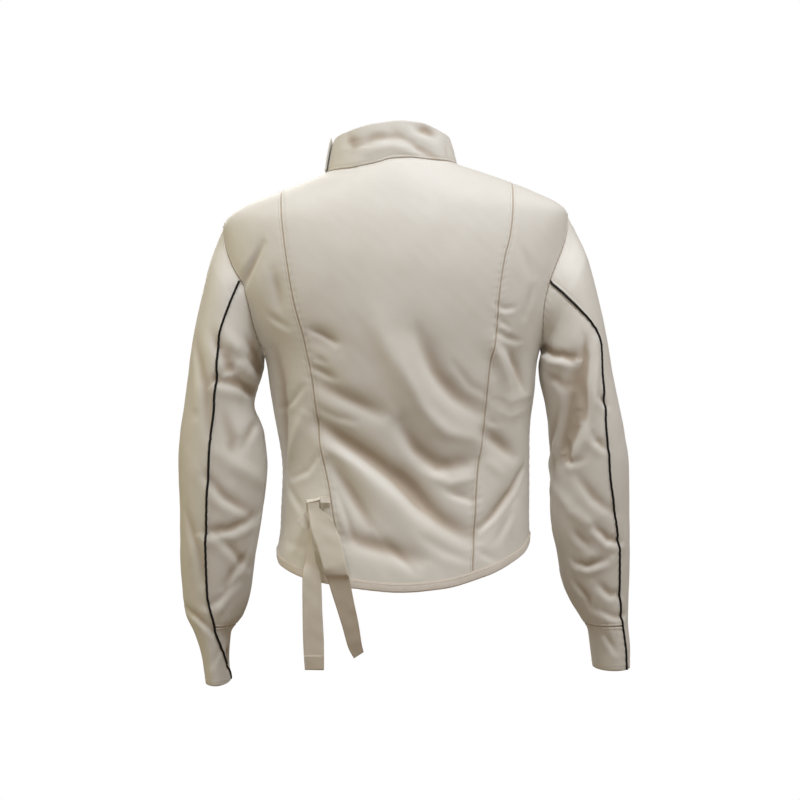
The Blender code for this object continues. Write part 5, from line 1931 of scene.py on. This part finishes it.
@dataclass
class FrontZip:
    """The front zip: its tape, two rows of teeth, the slider and its pull tab."""

    panels: Panels
    pitch: float = 2.4 * MM
    tooth: tuple[float, float, float] = (3.6 * MM, 1.05 * MM, 1.7 * MM)
    tooth_edge: float = 0.3 * MM
    apart: float = 1.05 * MM
    sunk: float = 0.7 * MM
    below_neck: float = 17.0 * MM
    above_hem: float = 2.0 * MM
    metal_edge: float = 0.35 * MM

    def build(self, finishes: Finishes) -> None:
        """Makes the teeth and dresses the solids."""
        sewn = self.panels.sewn
        left, main = sewn.folded(self.panels.zip_left), sewn.folded(self.panels.zip_main)
        middle, across = (left + main) / 2, unit(left - main)
        out = self.panels.form.outward(middle)
        length = lengths_along(middle, 0)
        at = np.arange(self.above_hem, length[-1] - self.below_neck, self.pitch / 2)
        middle, across, out = (read(at, length, grid) for grid in (middle, across, out))
        out = unit(out - across * (out * across).sum(axis=1, keepdims=True))
        up = np.cross(out, across)
        side = np.where(np.arange(len(at)) % 2 == 0, 1.0, -1.0)[:, None]
        centre = middle + across * side * self.apart - out * self.sunk
        corners = np.array([(x, y, z) for x in (-1, 1) for y in (-1, 1) for z in (-1, 1)]) / 2
        corners = corners * np.array(self.tooth)
        verts = (centre[:, None] + across[:, None] * corners[None, :, :1]
                 + up[:, None] * corners[None, :, 1:2] + out[:, None] * corners[None, :, 2:])
        box = np.array([(0, 1, 3, 2), (4, 6, 7, 5), (0, 4, 5, 1), (2, 3, 7, 6), (0, 2, 6, 4),
                        (1, 5, 7, 3)])
        if np.linalg.det(np.stack([across[0], up[0], out[0]])) < 0:
            box = box[:, ::-1]
        faces = (box[None] + 8 * np.arange(len(at))[:, None, None]).reshape(-1, 4)
        teeth = piece("zip_teeth", verts.reshape(-1, 3), faces, finishes.teeth)
        self.bevel(teeth, "rounded", self.tooth_edge, 2)
        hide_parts("zip_chain")
        for name, material in (("zip_tape", finishes.zip_tape), ("zip_slider", finishes.metal),
                               ("zip_pull", finishes.metal)):
            self.dress(bpy.data.objects[name], material)

    def dress(self, node: Object, material: Material) -> None:
        """Gives a solid its finish and soft edges."""
        node.data.materials.clear()
        node.data.materials.append(material)
        if node.name != "zip_tape":
            self.bevel(node, "soft_edges", self.metal_edge, 3)
        log.info("%s: dressed in %s", node.name, material.name)

    def bevel(self, obj: Object, name: str, width: float, segments: int) -> None:
        """Rounds the edges of an object."""
        bevel = obj.modifiers.new(name, "BEVEL")
        bevel.width, bevel.segments = width, segments


@dataclass
class WaistTie:
    """The waist tie of woven tape, in the five stretches that show."""

    columns: int = 14
    steps: int = 14
    thickness: float = 1.2 * MM
    swell: Swell = (0.025, 0.35, 41)
    selvage: float = 0.15 * MM
    selvage_shade: float = 0.35
    turn_height: float = -547.0 * MM
    turn_blend: float = 5.0 * MM
    turned_shade: float = 0.75
    fold_thickness: float = 0.5 * MM
    fold_shade: float = 0.5

    def build(self, finishes: Finishes) -> None:
        """Makes each stretch in place of its solid."""
        for number, (name, rows) in enumerate(TIES.items()):
            sheet = self.sheet(name, np.array(rows, float), number)
            obj = sheet.shell(finishes.tie, Slot.TAPE)
            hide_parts(name)
            declare(obj, sheet)
            if name == "tie_tail_left":
                self.end_fold(sheet, finishes)

    def sheet(self, name: str, rows: Array, number: int) -> Sheet:
        """One stretch, lofted through its rows with thicker edges."""
        left_x, left_y, right_x, right_y, left_z, right_z = rows.T * MM
        left = np.stack([left_x, left_y, left_z], axis=-1)
        right = np.stack([right_x, right_y, right_z], axis=-1)
        at = np.linspace(0, len(rows) - 1, (len(rows) - 1) * self.steps + 1)
        edges = smooth(at, np.arange(len(rows)), np.stack([left, right], axis=1))
        share = np.linspace(0, 1, self.columns + 1)[None, :, None]
        points = edges[:, :1] * (1 - share) + edges[:, 1:] * share
        out = unit(np.cross(np.gradient(points, axis=0), np.gradient(points, axis=1)))
        away = np.minimum(share[..., 0], 1 - share[..., 0])
        reach, height, seed = self.swell
        lift = uneven(points, (reach, height, seed + number)) + self.selvage * bell(away, 0.07)
        points = points + out * lift[..., None]
        shade = np.zeros(points.shape[:2]) + self.selvage_shade * bell(away, 0.05)
        if name == "tie_tail_right":
            past = np.clip((self.turn_height - points[..., 2]) / self.turn_blend, 0, 1)
            shade += self.turned_shade * past
        return Sheet(f"{name}_woven", points, grid_normals(points, out), shade,
                     thickness=self.thickness, rolled=(Edge.FIRST, Edge.LAST))

    def end_fold(self, tail: Sheet, finishes: Finishes) -> None:
        """The end of the left tail, folded over and stitched."""
        count = self.steps // 2 + 3
        out = tail.out[-count:]
        points = tail.points[-count:] + out * self.fold_thickness
        sheet = Sheet("tie_tail_left_fold", points, out,
                      np.full(points.shape[:2], self.fold_shade),
                      thickness=self.fold_thickness, rolled=(Edge.LOW, Edge.HIGH))
        obj = sheet.shell(finishes.tie, Slot.TAPE)
        declare(obj, sheet)


@dataclass
class Sewing:
    """The stitch rows along seams and edges, at their distances in millimetres."""

    panels: Panels
    sleeves: tuple[Sleeve, ...]
    collar: Collar
    hem: HemTape
    row: StitchRow = field(default_factory=StitchRow)
    from_seam: float = 4.2
    from_zip: float = 6.0
    from_collar: float = 4.4
    from_hem: float = 1.9
    from_cuff: float = 7.0

    def build(self, finishes: Finishes) -> None:
        """Lays every row."""
        back, main, left = (
            self.panels.made[name] for name in ("back_centre", "front_main", "front_left"))
        rows = {
            "body": [
                back.line(Edge.FIRST, self.from_seam), back.line(Edge.LAST, self.from_seam),
                main.line(Edge.LAST, self.from_zip), left.line(Edge.FIRST, self.from_zip),
            ],
            "collar": [self.collar.made.line(Edge.LOW, self.from_collar)],
            "hem": [self.hem.made.line(Edge.HIGH, self.from_hem)],
        }
        for sleeve in self.sleeves:
            cuff, over = sleeve.made["under_cuff"], sleeve.made["over_sleeve"]
            rows[f"sleeve_{sleeve.side.word}"] = [
                cuff.line(Edge.LOW, self.from_seam), cuff.line(Edge.HIGH, self.from_cuff),
                over.line(Edge.HIGH, self.from_cuff),
            ]
        for name, lines in rows.items():
            self.row.lay(f"{name}_stitches", lines, finishes.thread)


@dataclass(frozen=True)
class Lamp:
    """A soft rectangular light aimed at a point of the jacket."""

    name: str
    place: tuple[float, float, float]
    aim: tuple[float, float, float]
    size: float
    power: float
    colour: Colour

    def hang(self) -> None:
        """Adds the light."""
        light = bpy.data.lights.new(self.name, "AREA")
        light.size, light.energy, light.color = self.size, self.power, self.colour
        obj = linked(self.name, light)
        obj.location = self.place
        way = np.array(self.aim) - np.array(self.place)
        yaw = math.atan2(way[1], way[0]) - math.pi / 2
        pitch = math.pi / 2 + math.atan2(way[2], math.hypot(way[0], way[1]))
        obj.rotation_euler = (pitch, 0, yaw)


@dataclass(frozen=True)
class Studio:
    """The photograph's camera, white surround and soft light."""

    distance: float = 2.4
    height: float = -0.3188
    lens: float = 78.26
    sensor: float = 36.0
    world: float = 0.22
    tint: Colour = (1.0, 0.80, 0.58)
    floor_radius: float = 2.5
    floor_height: float = -0.86
    floor_sides: int = 64
    lamps: tuple[Lamp, ...] = (
        Lamp("key", (-0.7, 1.6, 2.6), (0.0, 0.1, -0.3), 0.9, 56.0, (0.97, 1.0, 1.04)),
        Lamp("overhead", (0.9, 0.9, 2.8), (0.0, 0.1, -0.2), 1.0, 24.0, (1.0, 1.0, 1.0)),
        Lamp("right", (-2.2, 0.7, 1.3), (-0.2, 0.0, -0.1), 1.0, 13.0, (1.0, 1.0, 0.99)),
        Lamp("ahead", (0.1, 2.9, 0.5), (0.0, 0.1, -0.4), 1.6, 3.5, (1.0, 0.93, 0.84)),
        Lamp("low", (1.2, 1.6, -0.75), (0.22, 0.0, -0.62), 0.6, 3.5, (1.0, 0.96, 0.92)),
        Lamp("fill", (2.2, 1.5, 0.2), (0.0, 0.1, -0.35), 1.6, 0.6, (1.0, 0.93, 0.75)),
        Lamp("bounce", (2.2, 0.1, 0.1), (0.2, 0.0, -0.35), 1.0, 6.0, (1.0, 0.90, 0.36)),
        Lamp("front", (0.6, -2.2, 0.9), (0.0, -0.1, -0.3), 1.6, 26.0, (1.0, 0.99, 0.97)),
    )

    def build(self) -> None:
        """Sets up the camera, the surround and the lights."""
        scene = bpy.context.scene
        data = bpy.data.cameras.new("photograph")
        data.sensor_width, data.lens = self.sensor, self.lens
        camera = linked("photograph", data)
        camera.location = (0, self.distance, self.height)
        camera.rotation_euler = (math.pi / 2, 0, math.pi)
        scene.camera = camera
        scene.view_settings.view_transform = "Standard"
        scene.world = self.surround()
        self.floor()
        for lamp in self.lamps:
            lamp.hang()

    def glow(self, graph: Graph) -> tuple[NodeSocket, NodeSocket]:
        """Colour and strength: white to the camera, dimmer and warmer as a light."""
        seen = graph.add("ShaderNodeLightPath").outputs["Is Camera Ray"]
        colour = graph.mix(seen, (*self.tint, 1), (1, 1, 1, 1))
        return colour, graph.math("MULTIPLY_ADD", seen, 1 - self.world, self.world)

    def surround(self) -> World:
        """The white surround."""
        world = bpy.data.worlds.new("white_surround")
        world.use_nodes = True
        graph = Graph(world.node_tree)
        colour, strength = self.glow(graph)
        graph.feed(world.node_tree.nodes["Background"], {"Color": colour, "Strength": strength})
        return world

    def floor(self) -> None:
        """A white sweep under the jacket that gives back as much light as the surround."""
        rim = round_section(self.floor_radius, self.floor_sides)
        mesh = bpy.data.meshes.new("sweep")
        mesh.from_pydata([(x, y, self.floor_height) for x, y in rim.tolist()], [],
                         [list(range(self.floor_sides))])
        material, graph, shader = principled("white_sweep")
        colour, strength = self.glow(graph)
        graph.feed(shader, {
            "Base Color": (0, 0, 0, 1), "Specular IOR Level": 0, "Emission Color": colour,
            "Emission Strength": strength,
        })
        mesh.materials.append(material)
        linked("sweep", mesh)


@dataclass
class Jacket:
    """The whole jacket, put together from its parts."""

    finishes: Finishes

    def __post_init__(self) -> None:
        """Prepares the parts on one shared form."""
        sewn = SewnForm(TrunkForm())
        self.panels = Panels(sewn)
        self.sleeves = (Sleeve(Side.LEFT, sewn, depth=1.2), Sleeve(Side.RIGHT, sewn))
        self.collar = Collar(self.panels)
        self.hem = HemTape(self.panels)
        self.zip = FrontZip(self.panels)
        self.tie = WaistTie()
        self.sewing = Sewing(self.panels, self.sleeves, self.collar, self.hem)

    def build(self) -> None:
        """Builds every part."""
        for part in (self.panels, *self.sleeves, self.collar, self.hem, self.zip, self.tie,
                     self.sewing):
            part.build(self.finishes)


def report_size() -> None:
    """Updates the view layer."""
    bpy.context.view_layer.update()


def main() -> None:
    """Builds the jacket and its surroundings."""
    Jacket(Finishes(Effects())).build()
    Studio().build()
    report_size()
    shown = [obj for obj in bpy.data.objects if obj.type == "MESH" and not obj.hide_render]
    log.info("%d pieces, %d faces", len(shown), sum(len(obj.data.polygons) for obj in shown))


if __name__ == "__main__":
    logging.basicConfig(level=logging.INFO, format="%(name)s: %(message)s")
    main()
